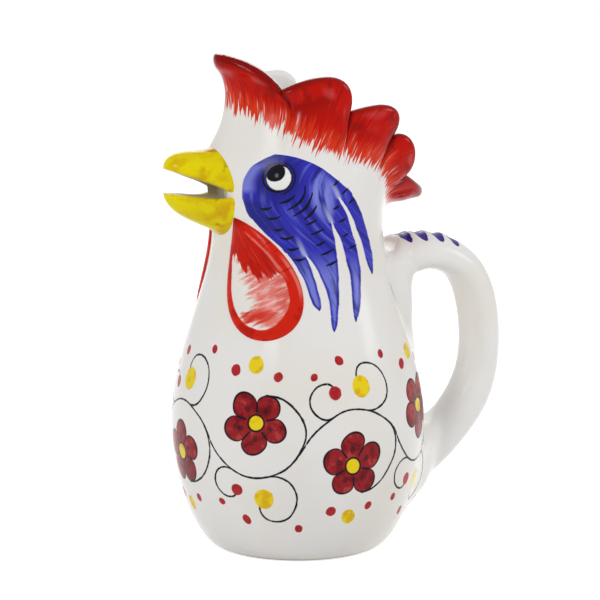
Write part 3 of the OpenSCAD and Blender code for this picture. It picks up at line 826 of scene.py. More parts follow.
# %% The handle's course, in millimetres of the middle plane
HANDLE_REACH, HANDLE_TOP_Z, HANDLE_TURN_Z, HANDLE_FOOT_Z = 106, 141, 96, 27
HANDLE_T, HANDLE_W = 20.6, 24
WEB_H, WEB_START, WEB_END, WEB_POWER = 40, 6.5, 19.5, 1.6
WAIST, NECK_SINK, BELLY_SINK = 2.4, 6, 10
TUCK, TUCK_START, TUCK_RUN = 0.55, 8, 18
ELBOW, ELBOW_RUNS = 2.2, (8, 30, 50, 85)
WAIST_RUNS = (15, 30, 45, 75)
SADDLE, SADDLE_RUN = 7, 14
RIDGE_H, RIDGE_PITCH, RIDGE_COUNT, RIDGE_START = 1.1, 8.1, 4, 1.24
UPPER_GROWTH, LOWER_GROWTH, INNER_GROWTH = 0.15, 0.3, 1.9
UPPER_ROOT_RUN, LOWER_ROOT_RUN = 50, 45
NECK_PULL, BELLY_PULL, TURN_UP, TURN_DOWN = (0.63, 0.2), (0.63, 0.38), 0.95, 0.44
BAR_RINGS, BAR_COLUMNS, COURSE_STEPS, LEAST_SHARE = 150, 56, 60, 0.001

neck_end = np.array((body_r(HANDLE_TOP_Z), HANDLE_TOP_Z))
turn_point = np.array((HANDLE_REACH, HANDLE_TURN_Z))
belly_end = np.array((body_r(HANDLE_FOOT_Z), HANDLE_FOOT_Z))
over, under = abs(turn_point - neck_end), abs(turn_point - belly_end)
neck_way, belly_way = over * NECK_PULL, under * BELLY_PULL
course_knots = [
    (neck_end - NECK_SINK * unit(neck_way), None, None),
    (neck_end, None, neck_end + neck_way),
    (turn_point, turn_point + over * (0, TURN_UP), turn_point - under * (0, TURN_DOWN)),
    (belly_end, belly_end + belly_way, None),
    (belly_end - BELLY_SINK * unit(belly_way), None, None),
]
print("handle from", neck_end.round(1), "by", turn_point, "to", belly_end.round(1))

# %% The tree that sweeps, swells and ridges the bar
lengths = {
    "Thickness": HANDLE_T, "Width": HANDLE_W, "Ridge height": RIDGE_H, "Ridge pitch": RIDGE_PITCH,
    "Web depth": WEB_H, "Web start": WEB_START, "Web end": WEB_END, "Waist": WAIST, "Elbow": ELBOW,
    "Saddle": SADDLE, "Saddle run": SADDLE_RUN, "Tuck start": TUCK_START, "Tuck run": TUCK_RUN,
    "Neck sink": NECK_SINK, "Belly sink": BELLY_SINK,
    "Upper root": UPPER_ROOT_RUN, "Lower root": LOWER_ROOT_RUN,
}
ratios = {
    "Ridge count": RIDGE_COUNT, "Ridge start": RIDGE_START, "Web power": WEB_POWER, "Tuck": TUCK,
    "Upper growth": UPPER_GROWTH, "Lower growth": LOWER_GROWTH, "Inner growth": INNER_GROWTH,
}
sweep_inputs = {"Rings": ("NodeSocketInt", BAR_RINGS), "Columns": ("NodeSocketInt", BAR_COLUMNS)}
sweep_inputs |= {label: ("NodeSocketFloat", length * MM) for label, length in lengths.items()}
sweep_inputs |= {label: ("NodeSocketFloat", ratio) for label, ratio in ratios.items()}
sweep_inputs["Glaze"] = ("NodeSocketMaterial", plain_glaze)
sweep, given, sweep_settings = start_tree("pulled_handle", "Course", sweep_inputs, "Bar")
print("handle inputs", len(sweep_inputs))


def store(geometry, name, kind, value):
    return geometry.node("GeometryNodeStoreNamedAttribute", {"data_type": kind},
                         {"Geometry": geometry, "Name": name, "Value": value})


def recall(flow, name, kind):
    return flow.node("GeometryNodeInputNamedAttribute", {"data_type": kind}, {"Name": name})


bar = given["Course"].node("GeometryNodeResampleCurve", {"mode": "COUNT"},
                           {"Curve": given["Course"], "Count": given["Rings"]})
spline_run = bar.node("GeometryNodeSplineParameter", output="Length")
spline_share = bar.node("GeometryNodeSplineParameter", output="Factor")
bar = store(bar, "run", "FLOAT", spline_run - given["Neck sink"])
left_over = spline_run / spline_share.most(LEAST_SHARE) - spline_run - given["Belly sink"]
bar = store(bar, "left_over", "FLOAT", left_over)
bar = store(bar, "spot", "FLOAT_VECTOR", bar.node("GeometryNodeInputPosition"))
bar = store(bar, "way", "FLOAT_VECTOR", bar.node("GeometryNodeInputTangent"))
oval = bar.node("GeometryNodeCurvePrimitiveCircle", {"mode": "RADIUS"},
                {"Resolution": given["Columns"], "Radius": HANDLE_T / 2 * MM})
around = oval.node("GeometryNodeSplineParameter", output="Factor") * math.tau
oval = store(oval, "top", "FLOAT", around.math("SINE", around) * -1)
oval = store(oval, "across", "FLOAT", around.math("COSINE", around))
bar = bar.node("GeometryNodeCurveToMesh", inputs={"Curve": bar, "Profile Curve": oval, "Fill Caps": True})

# %% Sums that set each point of the bar
bar_run, bar_left = recall(bar, "run", "FLOAT"), recall(bar, "left_over", "FLOAT")
top, across_bar = recall(bar, "top", "FLOAT"), recall(bar, "across", "FLOAT")
near_neck = (1 - bar_run / given["Upper root"]).most(0) ** 2
near_belly = (1 - bar_left / given["Lower root"]).most(0) ** 2
tucked = ((given["Tuck start"] - bar_left) / given["Tuck run"]).most(0) ** 2 * given["Tuck"]
upper_side = top.math("GREATER_THAN", top, 0)
swell_in = 1 + given["Upper growth"] * near_neck + given["Inner growth"] * near_belly
swell_out = (1 + given["Upper growth"] * near_neck) * (1 - tucked)
thick = given["Thickness"] / 2 * (upper_side * swell_out + (1 - upper_side) * swell_in)
ridge_turn = bar_run / given["Ridge pitch"] - given["Ridge start"]
in_ridges = (ridge_turn.math("GREATER_THAN", ridge_turn, -0.5)
             * ridge_turn.math("LESS_THAN", ridge_turn, given["Ridge count"] - 0.5))
wave = ridge_turn * math.tau
ridge = given["Ridge height"] * in_ridges * (1 + wave.math("COSINE", wave)) / 2
web = given["Web depth"] * (1 - bar_run.rise(given["Web start"], given["Web end"])) ** given["Web power"]
elbow = given["Elbow"] * bar_left.within(*[run * MM for run in ELBOW_RUNS])
waist = given["Waist"] * bar_run.within(*[run * MM for run in WAIST_RUNS])
saddle = given["Saddle"] * (1 - bar_run.rise(0, given["Saddle run"]))
rise = (thick - saddle * upper_side) * top
rise = rise + ((ridge + elbow) * upper_side + (waist - web) * (1 - upper_side)) * top * top
wide = 1 + given["Upper growth"] * near_neck + given["Lower growth"] * near_belly
spread = given["Width"] / 2 * wide * across_bar
way_x, way_z = recall(bar, "way", "FLOAT_VECTOR").split(0, 2)
offset = bar.node("ShaderNodeCombineXYZ", inputs={0: way_z * rise * -1, 1: spread * -1, 2: way_x * rise})
place = bar.node("ShaderNodeVectorMath", {"operation": "ADD"},
                 {0: recall(bar, "spot", "FLOAT_VECTOR"), 1: offset})
bar = bar.node("GeometryNodeSetPosition", inputs={"Geometry": bar, "Position": place})
close_tree(bar, given["Glaze"], "Bar")
print("handle nodes", len(sweep.nodes))

# %% Sweep the handle, then lute its roots
ROOT_SKIN = 0.15
LUTE_REACH, LUTE_FLARE, LUTE_HOLLOW, TOP_FLARE = 8, 0.4, 0.6, 0.16
SPREAD_REACH, LUTE_SPREAD, SPREAD_EASE = 16, 0.42, 2.5
UPPER_ROOT_Z, LOWER_ROOT_Z, BETWEEN_ROOTS = 128, 30, 84

course_object = bezier_object("handle_course", course_knots, lambda x, z: (x * MM, 0, z * MM), COURSE_STEPS)
add_tree(course_object, sweep, sweep_settings)
handle = settle(course_object, "ear_handle")
bar_points = np.array([v.co for v in handle.data.vertices]) / MM
bar_x, bar_y, bar_z = bar_points.T
gap = np.hypot(bar_x, bar_y) - body_r(bar_z)
flare = np.where(bar_z > UPPER_ROOT_Z, TOP_FLARE, LUTE_FLARE)
lute = 1 + (1 - gap / LUTE_REACH).clip(0, 1) ** 2 * flare
root_z = np.where(bar_z > BETWEEN_ROOTS, UPPER_ROOT_Z, LOWER_ROOT_Z)
bar_z = root_z + (bar_z - root_z) * lute
aside = LUTE_SPREAD * bar_y / np.hypot(bar_y, SPREAD_EASE)
bar_turn = np.arctan2(bar_y, bar_x) + aside * (1 - gap / SPREAD_REACH).clip(0, 1) ** 2
gap = np.maximum(gap * (abs(gap) / LUTE_REACH).clip(0, 1) ** LUTE_HOLLOW, -ROOT_SKIN)
from_axis = body_r(bar_z) + gap
bar_points = np.stack([from_axis * np.cos(bar_turn), from_axis * np.sin(bar_turn), bar_z], 1)
handle.data.vertices.foreach_set("co", (bar_points * MM).ravel())
handle.data.update()
print("handle", len(handle.data.polygons), "faces", bar_points.min(0).round(1), bar_points.max(0).round(1))

# %% [markdown]
# ## The glaze
# The jug is dipped in a white tin glaze and painted on it before the second firing, so colour and gloss are
# one coat. All materials share one recipe: a white that drifts a little between warm and cool, a gloss that
# is not quite even, and a very slow ripple from the hand that made the wall. Each piece adds its own paint
# to the white. A mix of several shaders could hold the paint apart, but one shader bakes to one set of maps.

# %% Fields, noise and the shared glaze
def field(flow, name):
    """The two numbers of a UV map."""
    return flow.node("ShaderNodeUVMap", {"uv_map": name}).split(0, 1)


def triple(x, y, z=0):
    flow = x if isinstance(x, Flow) else y
    return flow.node("ShaderNodeCombineXYZ", inputs={0: x, 1: y, 2: z})


def noise(vector, scale, detail=2, roughness=0.5):
    return vector.node("ShaderNodeTexNoise", {"noise_dimensions": "3D"},
                       {"Vector": vector, "Scale": scale, "Detail": detail, "Roughness": roughness})


def bristles(across, along, width, length, seed=0, detail=2):
    """Noise drawn out along the strokes, with its scales across and along them, per millimetre."""
    return noise(triple(across * width, along * length, seed), 1, detail)


GLAZE_WHITE, GLAZE_WARM, SPECK = srgb(231, 229, 225), srgb(229, 225, 217), srgb(176, 164, 140)
GLAZE_SHEEN, GLAZE_GLOSS, EYE_GLOSS, UNEVENNESS = 0.09, 0.12, 0.08, 0.09
SLOW_RIPPLE, FINE_RIPPLE, PAINT_RELIEF = 1.2, 0.25, 0.1
RIPPLE_STRENGTH, RIPPLE_DEPTH = 0.35, 0.0009


def glaze(name, paint, gloss=GLAZE_GLOSS):
    """A painted glaze. paint takes a flow, the place and the white, and gives colour and relief."""
    material = bpy.data.materials.new(name)
    material.use_nodes = True
    tree = material.node_tree
    shader = tree.nodes["Principled BSDF"]
    shader.inputs["Specular IOR Level"].default_value = GLAZE_SHEEN
    flow = Flow(tree)
    place = flow.node("ShaderNodeTexCoord", output="Object")
    drift = noise(place, 22)
    white = drift.rise(0.42, 0.72).between(GLAZE_WHITE, GLAZE_WARM)
    colour, relief = paint(flow, place, white)
    height = drift * SLOW_RIPPLE + noise(place, 90) * FINE_RIPPLE + relief * PAINT_RELIEF
    bump = flow.node("ShaderNodeBump",
                     inputs={"Strength": RIPPLE_STRENGTH, "Distance": RIPPLE_DEPTH, "Height": height})
    roughness = gloss + noise(place, 260, 3) * UNEVENNESS
    for value, socket in ((colour, "Base Color"), (roughness, "Roughness"), (bump, "Normal")):
        tree.links.new(value.socket, shader.inputs[socket])
    print(name, len(tree.nodes), "nodes")
    return material


def bare_paint(flow, place, white):
    specks = noise(place, 900, 1).rise(0.76, 0.8)
    return white.over((specks * 0.25, SPECK)), specks


inside_glaze = glaze("inside_glaze", bare_paint)

# %% [markdown]
# ## The blue feathers
# One loaded brush makes the blue patch: round at the eye, then drawn down into four feathers with white
# slits between them. A mask painted by hand would need an image. Here each feather is the space between two
# edge curves, which give the distance towards the tail at each height, and the union of four such spaces is
# the patch. Rows of short dark strokes follow the feathers, and rings follow the eye.

# %% Edges of the feathers: height above the eye, and distance towards the tail, in millimetres
LOWEST, HIGHEST = -80, 14
NEAREST, FARTHEST = -22, 52
PAST_TIP = 2
FRONT_EDGE = [(12, -1), (8.8, -8.2), (4.8, -13.6), (-5.2, -17.7), (-14.2, -16.4), (-21.4, -11.8),
              (-27.7, -6.4), (-34.9, 1.8), (-43.9, 9.2), (-51.2, 13.2), (-60.2, 16.7), (-64, 18.2),
              (-65.8, 19.7)]
BACK_EDGE = [(12, -1), (11.5, 4.4), (9.3, 13.4), (5.2, 22.4), (1.2, 27.8), (-3.3, 33.3), (-9.6, 38.7),
             (-16.9, 42.3), (-25, 44.9), (-34, 47.2), (-43, 48.6)]
SLITS = [
    ((-38.6, 14), [(-40, 14.8), (-43.4, 16.3), (-51.5, 19.3), (-56.6, 20.8), (-64.7, 22.4)],
     [(-40, 15.5), (-43.4, 18.3), (-51.5, 22.5), (-59.6, 25.5), (-67.2, 26.9), (-75.8, 27.7)]),
    ((-21.6, 27.4), [(-24, 27.9), (-34, 29.6), (-43, 30.8), (-56.6, 31.4), (-65.6, 31.1), (-75.8, 30)],
     [(-24, 28.6), (-31.3, 32), (-43, 35.4), (-52, 37.3), (-61, 38), (-71, 39.1)]),
    ((-9.4, 31),
     [(-11.5, 31.8), (-19.2, 35.6), (-25, 37.3), (-35.9, 40.4), (-47.5, 42.3), (-58.4, 42.3), (-71, 40.8)],
     [(-10.5, 32.2), (-19.2, 37.5), (-25, 40), (-34, 43.2), (-46.7, 46.8)]),
]
TIPS = [(-67.4, 21.4), (-78, 28.8), (-73, 39.9), (-48.9, 48)]
APEX_LEAD, APEX_CLEAR = 0.4, 0.6
TIP_POOL = (0.4, 2.2)
SLIT_LEAN, SLIT_BLUR, SLIT_FADE = -0.45, (0.2, 2.2), (0, 11)


def down_to(edge, apex):
    """An outer edge as far down as a slit's apex, and the apex itself."""
    start = apex[0] + APEX_LEAD
    heights, places = zip(*reversed(edge))
    kept = [point for point in edge if point[0] > start + APEX_CLEAR]
    return kept + [(start, float(np.interp(start, heights, places))), apex]


def feather_edges():
    """Each feather's two edges: an outer edge down to a slit's apex, then the slit, then the tip."""
    edges = []
    for i, tip in enumerate(TIPS):
        front, back = FRONT_EDGE, BACK_EDGE
        for apex, _, slit_back in SLITS[max(i - 1, 0):i]:
            front = down_to(front, apex) + slit_back
        for apex, slit_front, _ in reversed(SLITS[i:]):
            back = down_to(back, apex) + slit_front
        past = tip[0] - PAST_TIP
        edges.append((front + [tip, (past, tip[1] + PAST_TIP)], back + [tip, (past, tip[1] - PAST_TIP)]))
    return edges


def edge_curve(height, points):
    """The distance towards the tail of an edge at a height, by a curve through its points."""
    places = [((t - LOWEST) / (HIGHEST - LOWEST), (s - NEAREST) / (FARTHEST - NEAREST)) for t, s in points]
    share = (height - LOWEST) / (HIGHEST - LOWEST)
    curve = height.node("ShaderNodeFloatCurve", {"points": places}, {"Value": share})
    return curve * (FARTHEST - NEAREST) + NEAREST


print(len(TIPS), "feathers,", [len(front + back) for front, back in feather_edges()], "points")

# %% Strokes in rows and round the eye
STROKE_ROWS = [
    ((-5.6, -15.8), (3.45, -5.1), 6, 3.2, 0.1, 0.07),
    ((17.4, -22.7), (2.6, -5.1), 5, 3.0, 0.45, 0.03),
    ((30, -15), (2.6, -6.7), 4, 1.7, 0.5, 0),
    ((30.1, -2.5), (4, -4.4), 3, 1.6, 0.9, 0),
]
STROKE_HALF, STROKE_TAPER, STROKE_SOFT = 0.8, 0.45, (-0.12, 0.18)
WOBBLE_TURN, WOBBLE_S, WOBBLE_T, WOBBLE_L = 2.4, 0.5, 0.4, 0.18


def stroke_row(s, t, first, step, count, half, tilt, bend):
    """Short dark strokes from the first place on, a step apart. A bend curls their ends up."""
    k = (t - first[1]) / step[1]
    k = k.math("ROUND", k).most(0).least(count - 1)
    wobble = k.math("SINE", k * WOBBLE_TURN)
    u = s - first[0] - k * step[0] - wobble * WOBBLE_S
    v = t - first[1] - k * step[1] - wobble * WOBBLE_T - u * tilt - u * u * bend
    reach = half * (1 + wobble * WOBBLE_L)
    body_of_stroke = STROKE_HALF - abs(u) / reach * STROKE_TAPER
    return (body_of_stroke - abs(v)).least(reach - abs(u)).rise(*STROKE_SOFT)


RING_R, RING_HALF = 7.0, 0.62
SECOND_R, SECOND_HALF, SECOND_SHIFT, SECOND_START = 8.2, 0.42, 1.0, (1.5, 4.5)
EYE_RINGS = 4
RING_START, RING_STEP, RING_BOW = 12.8, 4.1, 4
ARC_TURN, ARC_SHIFT, ARC_HALF, ARC_GROWTH = -1.13, 0.33, 4.7, 3.8
ARC_THICK, ARC_TAPER = 0.85, 0.5


def eye_strokes(s, t):
    """The ring round the eye, a second part ring behind it, and arcs that repeat it below."""
    r = (s * s + t * t) ** 0.5
    ring = (RING_HALF - abs(r - RING_R)).rise(-0.12, 0.2)
    shifted = ((s - SECOND_SHIFT) ** 2 + t * t) ** 0.5
    second = (SECOND_HALF - abs(shifted - SECOND_R)).rise(-0.1, 0.2) * s.rise(*SECOND_START)
    turn_here = t.math("ARCTAN2", t, s)
    bowed = r + (turn_here - ARC_TURN - ARC_SHIFT).most(0) * RING_BOW
    k = (bowed - RING_START) / RING_STEP
    k = k.math("ROUND", k).most(0).least(EYE_RINGS - 1)
    swing = k * (math.pi / (EYE_RINGS - 1))
    reach = ARC_HALF + swing.math("SINE", swing) * ARC_GROWTH
    along = abs(turn_here - ARC_TURN - k.least(1) * ARC_SHIFT) * r
    thick = ARC_THICK - along / reach * ARC_TAPER
    arcs = (thick - abs(bowed - RING_START - k * RING_STEP)).least(reach - along)
    return ring.most(second).most(arcs.rise(*STROKE_SOFT))


# %% The blue patch on a field of the face
BLUE, PALE_BLUE, DEEP_BLUE = srgb(48, 47, 172), srgb(128, 136, 216), srgb(30, 30, 112)
SLIT_BLUE, INK = srgb(182, 190, 230), srgb(16, 16, 28)
TAIL_WASH, CHEEK_HIGHLIGHT, UNDER_EYE = (-54, -34), (-9, -5, 5, 9), (-32, -24, -14, -8)
BACK_S, BACK_T, BACK_W, BACK_H, BACK_LEAN = 23, -9, 7, 14, 0.12


def feather_paint(flow, place, white):
    s, t = field(flow, "side")
    s = s + (noise(place, 160) - 0.5)
    edges = [[edge_curve(t, points) for points in pair] for pair in feather_edges()]
    patch = reduce(Flow.most, [(s - front).least(back - s) for front, back in edges])
    across_patch = s - edges[0][0]
    streaks = bristles(across_patch, t, 0.3, 0.04, detail=3)
    fine = bristles(across_patch, t, 1.7, 0.09, 7)
    painted = (patch + (fine - 0.5) * 0.7).rise(-0.25, 0.35)
    wash = streaks.rise(0.52, 0.74) * 0.45
    tail_wash = patch.rise(0.4, 2.0) * (1 - t.rise(*TAIL_WASH)) * 0.8
    # Painted highlight: a pale blue patch on the cheek, in front of the eye and level with it.
    cheek_highlight = (1 - across_patch.rise(2.5, 9)) * t.within(*CHEEK_HIGHLIGHT) * 0.8
    lean = (s - BACK_S + (t - BACK_T) * BACK_LEAN) / BACK_W
    behind = lean * lean + ((t - BACK_T) / BACK_H) ** 2
    back_wash = (1 - behind.rise(0.1, 1.2)) * streaks.rise(0.3, 0.6) * 0.95
    around_eye = (s * s + t * t) ** 0.5
    under_eye = (1 - across_patch.rise(6, 16)) * t.within(*UNDER_EYE)
    deep = (1 - streaks.rise(0.34, 0.52)).most(1 - around_eye.rise(8, 17)).most(under_eye)
    deep = deep * (1 - back_wash) * (1 - cheek_highlight)
    for tip_t, tip_s in TIPS:
        to_tip = ((s - tip_s) ** 2 + (t - tip_t) ** 2) ** 0.5
        deep = deep.most(1 - to_tip.rise(*TIP_POOL))
    pale = wash.most(tail_wash).most(cheek_highlight).most(back_wash) * painted
    colour = white.over((painted, BLUE), (pale, PALE_BLUE), (deep * painted * 0.75, DEEP_BLUE))
    for (apex_t, apex_s), _, _ in SLITS:
        above = t - apex_t
        beside = abs(s - apex_s - above * SLIT_LEAN)
        gleam = (1 - beside.rise(*SLIT_BLUR)) * (1 - above.rise(*SLIT_FADE)) * above.rise(-2, 0)
        colour = colour.over((gleam * painted * 0.7, SLIT_BLUE))
    ink = reduce(Flow.most, [stroke_row(s, t, *row) for row in STROKE_ROWS], eye_strokes(s, t))
    return colour.over((ink * painted.most(0.6), INK)), painted + ink * 0.5


neck_glaze = glaze("feather_glaze", feather_paint)

# %% [markdown]
# ## The red comb
# The comb is brushed from the rim down, so its lower edge is ragged and its strokes follow the wall's
# columns. The paint pools at the rim, where it turns maroon, and thins out at the ends of the strokes.
# The creases under the notches carry painted shade in maroon, and the lobes a few rose painted highlights.
# All of that hangs on two fields: the distance to the ragged edge and the distance to the rim. Round the
# mouth, a dark beige is painted shade and yellow bounce light for the inside of the slot.

# %% Red over the face's paint
RED, MAROON = srgb(188, 12, 0), srgb(116, 2, 0)
THIN_RED, ROSE_HIGHLIGHT = srgb(220, 60, 26), srgb(206, 96, 100)
BROAD_RAG, HAIR_RAG, FINE_RAG = 10, 21, 10
MOUTH_SHADE, CUT_CORE, CUT_R, CUT_DEEP = srgb(196, 184, 146), 6.5, 5.6, 40
INDOORS, MOUTH_SHADE_RUN = (150, 190), (25, 55)


def comb_paint(flow, place, white):
    colour, relief = feather_paint(flow, place, white)
    across, depth = field(flow, "comb")
    crest, lobe = field(flow, "rim")
    across = across - depth * (across.rise(10, 80) * 0.5 - 0.12)
    broad = bristles(across, depth, 0.3, 0.02, detail=1)
    hairs = bristles(across, depth, 0.42, 0.03, 3)
    fine = bristles(across, depth, 1.2, 0.05, 9, 1)
    edge = depth + (broad - 0.5) * BROAD_RAG + (hairs - 0.5) * HAIR_RAG + (fine - 0.5) * FINE_RAG
    bare_hairs = bristles(across, depth, 0.9, 0.04, 21).rise(0.58, 0.66) * (1 - edge.rise(3, 11))
    painted = edge.rise(-0.8, 1.0) * (1 - bare_hairs * 0.8)
    strokes = bristles(across, depth, 0.6, 0.05, 15, 3)
    thin = (1 - edge.rise(2, 13)).most(strokes.rise(0.56, 0.74) * 0.5) * painted
    pool = (1 - crest.rise(1.0, 6.5)) * (0.35 + strokes)
    # Painted shade: maroon along the creases under the notches, near the rim.
    crease_shade = (1 - lobe.rise(0.04, 0.3)) * (1 - crest.rise(6, 16))
    blotch = noise(place, 70, 3).rise(0.5, 0.66) * (1 - crest.rise(6, 26)) * 0.75
    dark = (1 - strokes.rise(0.34, 0.5)) * (0.62 - crest.rise(4, 16) * 0.3)
    # Painted highlight: rose patches on the lobes, a little below the rim.
    rose_highlight = noise(place, 55, 1).rise(0.52, 0.66) * crest.within(4, 8, 10, 17)
    # Painted shade and yellow bounce light: dark beige round the mouth, on the slot and inside the head.
    x, y, z = [axis / MM for axis in place.split(0, 1, 2)]
    beyond, above = (abs(y) - CUT_CORE).most(0), z - MOUTH_Z
    mouth = (CUT_R - (beyond * beyond + above * above) ** 0.5).least(SLOT_END - x).rise(-0.4, 0.4)
    indoors = field(flow, "side")[1].rise(*INDOORS)
    to_mouth = ((x - SLOT_END + CUT_DEEP) ** 2 + y * y + above * above) ** 0.5
    tinge = (1 - to_mouth.rise(*MOUTH_SHADE_RUN)) * indoors * 0.8
    colour = colour.over(
        (painted, RED),
        (thin * 0.8, THIN_RED),
        (pool.most(crease_shade).most(dark).most(blotch).least(0.9) * painted, MAROON),
        (rose_highlight * painted * 0.6, ROSE_HIGHLIGHT),
        (mouth.most(tinge), MOUTH_SHADE))
    return colour, relief + painted


comb_glaze = glaze("comb_glaze", comb_paint)

# %% [markdown]
# ## Beak, eyes and wattles
# The beak is one yellow wash over which the brush went again with ochre. Its scoop is white glaze painted
# beige, partly a thin yellow wash and partly painted shade and yellow bounce light. The eye is a white
# pellet with an ink rim and a big pupil that looks up. A wattle has a red outline, a dark fan of strokes
# from its point, a pink wash that leaves the front of the pad white, and two pink painted highlights
# along its edge.

# %% Yellow beak
YELLOW, OCHRE, UMBER = srgb(228, 212, 2), srgb(210, 164, 0), srgb(182, 122, 0)
SCOOP_WASH_AND_SHADE = srgb(208, 194, 146)
STROKE_SCALE = (60, 190, 190)


def beak_paint(flow, place, white):
    along, inner = field(flow, "blade")
    clouds = noise(place, 75, 3, 0.6)
    strokes = noise(place.node("ShaderNodeMapping", inputs={"Vector": place, "Scale": STROKE_SCALE}), 1)
    near_root = 1 - along.rise(0.15, 0.75)
    # The scoop is painted beige: partly a thin yellow wash, partly painted shade and yellow bounce light.
    scoop = inner.rise(0.35, 0.65)
    yellow = (clouds.rise(0.52, 0.68) * 0.6).between(YELLOW, OCHRE)
    colour = yellow.over(
        (strokes.rise(0.56, 0.74) * 0.5, OCHRE),
        (noise(place, 95, 3).rise(0.5, 0.62) * near_root * 0.8, OCHRE),
        (noise(place, 170, 2).rise(0.58, 0.7) * near_root * 0.75, UMBER),
        (scoop, SCOOP_WASH_AND_SHADE))
    return colour, 1 - scoop


beak_glaze = glaze("beak_glaze", beak_paint)

# %% Ink and white eyes
PUPIL_AT = (0.26, 0.42)
PUPIL_R, RIM_R, RIM_SOFT, EYE_HAND = 0.76, 0.92, 0.04, 0.12
EYE_WHITE = srgb(236, 234, 230)


def eye_paint(flow, place, white):
    x, y = field(flow, "eye")
    hand = (noise(place, 300) - 0.5) * EYE_HAND
    r = (x * x + y * y) ** 0.5 + hand
    to_pupil = ((x - PUPIL_AT[0]) ** 2 + (y - PUPIL_AT[1]) ** 2) ** 0.5 + hand
    ink = (PUPIL_R - to_pupil).rise(-0.03, 0.05).most(r.rise(RIM_R - RIM_SOFT, RIM_R + RIM_SOFT))
    return ink.between(EYE_WHITE, INK), ink


eye_glaze = glaze("eye_glaze", eye_paint, EYE_GLOSS)

# %% Red and pink wattles
WATTLE_RED, WATTLE_DARK, WATTLE_PINK = srgb(206, 32, 10), srgb(166, 12, 0), srgb(226, 118, 106)
WATTLE_THIN, WATTLE_ROSE, FAN_RED = srgb(212, 70, 44), srgb(208, 92, 82), srgb(192, 24, 8)
BAND_W, BAND_BACK, BAND_LOW, BAND_HAND = 4.8, 1.8, 0.8, 1.8
FAN_ROOT, FAN_L, FAN_LEAN, FAN_BOW, FAN_RAG = 5, 30, 1.6, 0.1, 36
WASH_START, WASH_RAG = 5.5, 22
LOW_RIGHT, LOW_UP, LOW_W, LOW_H, LOW_SLOPE, LOW_RAG = 19, -46, 8.5, 4.2, 0.1, 4.5
INNER_HIGHLIGHT, INNER_HIGHLIGHT_Y = 5.4, (8, 14, 32, 42)
OUTER_HIGHLIGHT, OUTER_HIGHLIGHT_Y = 1.3, (26, 34, 46, 54)


def wattle_paint(flow, place, white):
    x, y = field(flow, "pad")
    inset = field(flow, "edge")[0]
    hand = noise(place, 130) - 0.5
    band_width = BAND_W + x.rise(-8, 6) * BAND_BACK + y.rise(34, 58) * BAND_LOW + hand * BAND_HAND
    band = (band_width - inset).rise(-0.3, 0.5)
    spread = x.math("ARCTAN2", x, y + FAN_ROOT)
    tufts = bristles(spread, y, 11, 0.03) - 0.5
    fan = (FAN_L + x * FAN_LEAN - x.most(0) ** 2 * FAN_BOW + tufts * FAN_RAG - y).rise(-0.5, 1.6)
    right = x * math.cos(WATTLE_TILT) + y * math.sin(WATTLE_TILT)
    up = x * math.sin(WATTLE_TILT) - y * math.cos(WATTLE_TILT)
    brush = noise(triple(right * 0.08 + up * 0.04, up * 0.38 - right * 0.2, 4), 1, 3, 0.6)
    wash = (x + WASH_START + (brush - 0.5) * WASH_RAG).rise(-1.5, 5)
    wash = wash * (0.5 + brush.rise(0.34, 0.56) * 0.5)
    aside = right - LOW_RIGHT
    over_dab = up - LOW_UP - aside * LOW_SLOPE
    low_dab = (aside / LOW_W) ** 2 + (over_dab / LOW_H) ** 2 + (brush - 0.5) * LOW_RAG
    streak = bristles(spread, y, 30, 0.05, 11)
    # Painted highlights: two pink lines, one at the band's inner edge and one near the pad's outer edge.
    inner_highlight = 1 - abs(inset - INNER_HIGHLIGHT - hand * 2).rise(0.3, 1.1)
    inner_highlight = inner_highlight * x.rise(-1, 2) * y.within(*INNER_HIGHLIGHT_Y)
    outer_highlight = 1 - abs(inset - OUTER_HIGHLIGHT).rise(0.4, 1.1)
    outer_highlight = outer_highlight * x.rise(5, 10) * y.within(*OUTER_HIGHLIGHT_Y)
    dark = (1 - y.rise(2, 9)).most((1 - brush.rise(0.3, 0.42)) * band.most(fan) * 0.6)
    colour = white.over(
        (wash.least(1), WATTLE_PINK),
        (wash * x.rise(0, 9) * brush.rise(0.36, 0.56) * 0.8, WATTLE_ROSE),
        ((1 - low_dab.rise(0.5, 1.2)) * 0.85, WATTLE_THIN),
        ((1 - low_dab.rise(0.1, 0.7)) * 0.85, WATTLE_RED),
        (fan, FAN_RED),
        (fan * streak.rise(0.54, 0.66) * 0.8, WATTLE_THIN),
        (fan * (1 - streak.rise(0.36, 0.46)) * 0.75, WATTLE_DARK),
        (band, WATTLE_RED),
        (band * noise(place, 110, 3).rise(0.52, 0.64) * 0.6, WATTLE_DARK),
        (inner_highlight.most(outer_highlight) * 0.75, WATTLE_PINK),
        (dark, WATTLE_DARK))
    return colour, band.most(fan)


wattle_glaze = glaze("wattle_glaze", wattle_paint)

# %% [markdown]
# ## The handle's dabs
# The thumb ridges are marked by four blue dabs, one in each hollow. They sit on the top of the bar, so they
# read the run along the bar and the way round it, which the tree left on its points as attributes.

# %% Blue dabs across the ridges
DAB_RUNS = [14.0, 22.2, 30.4, 38.0]
DAB_HALF, DAB_FALL, DAB_SLANT, DAB_HAND = 3.0, 0.3, 0.18, 1.6
DAB_BLUE, DAB_DEEP = srgb(60, 46, 138), srgb(36, 24, 112)


def attribute(flow, name):
    settings = {"attribute_type": "GEOMETRY", "attribute_name": name}
    return flow.node("ShaderNodeAttribute", settings, output="Fac")


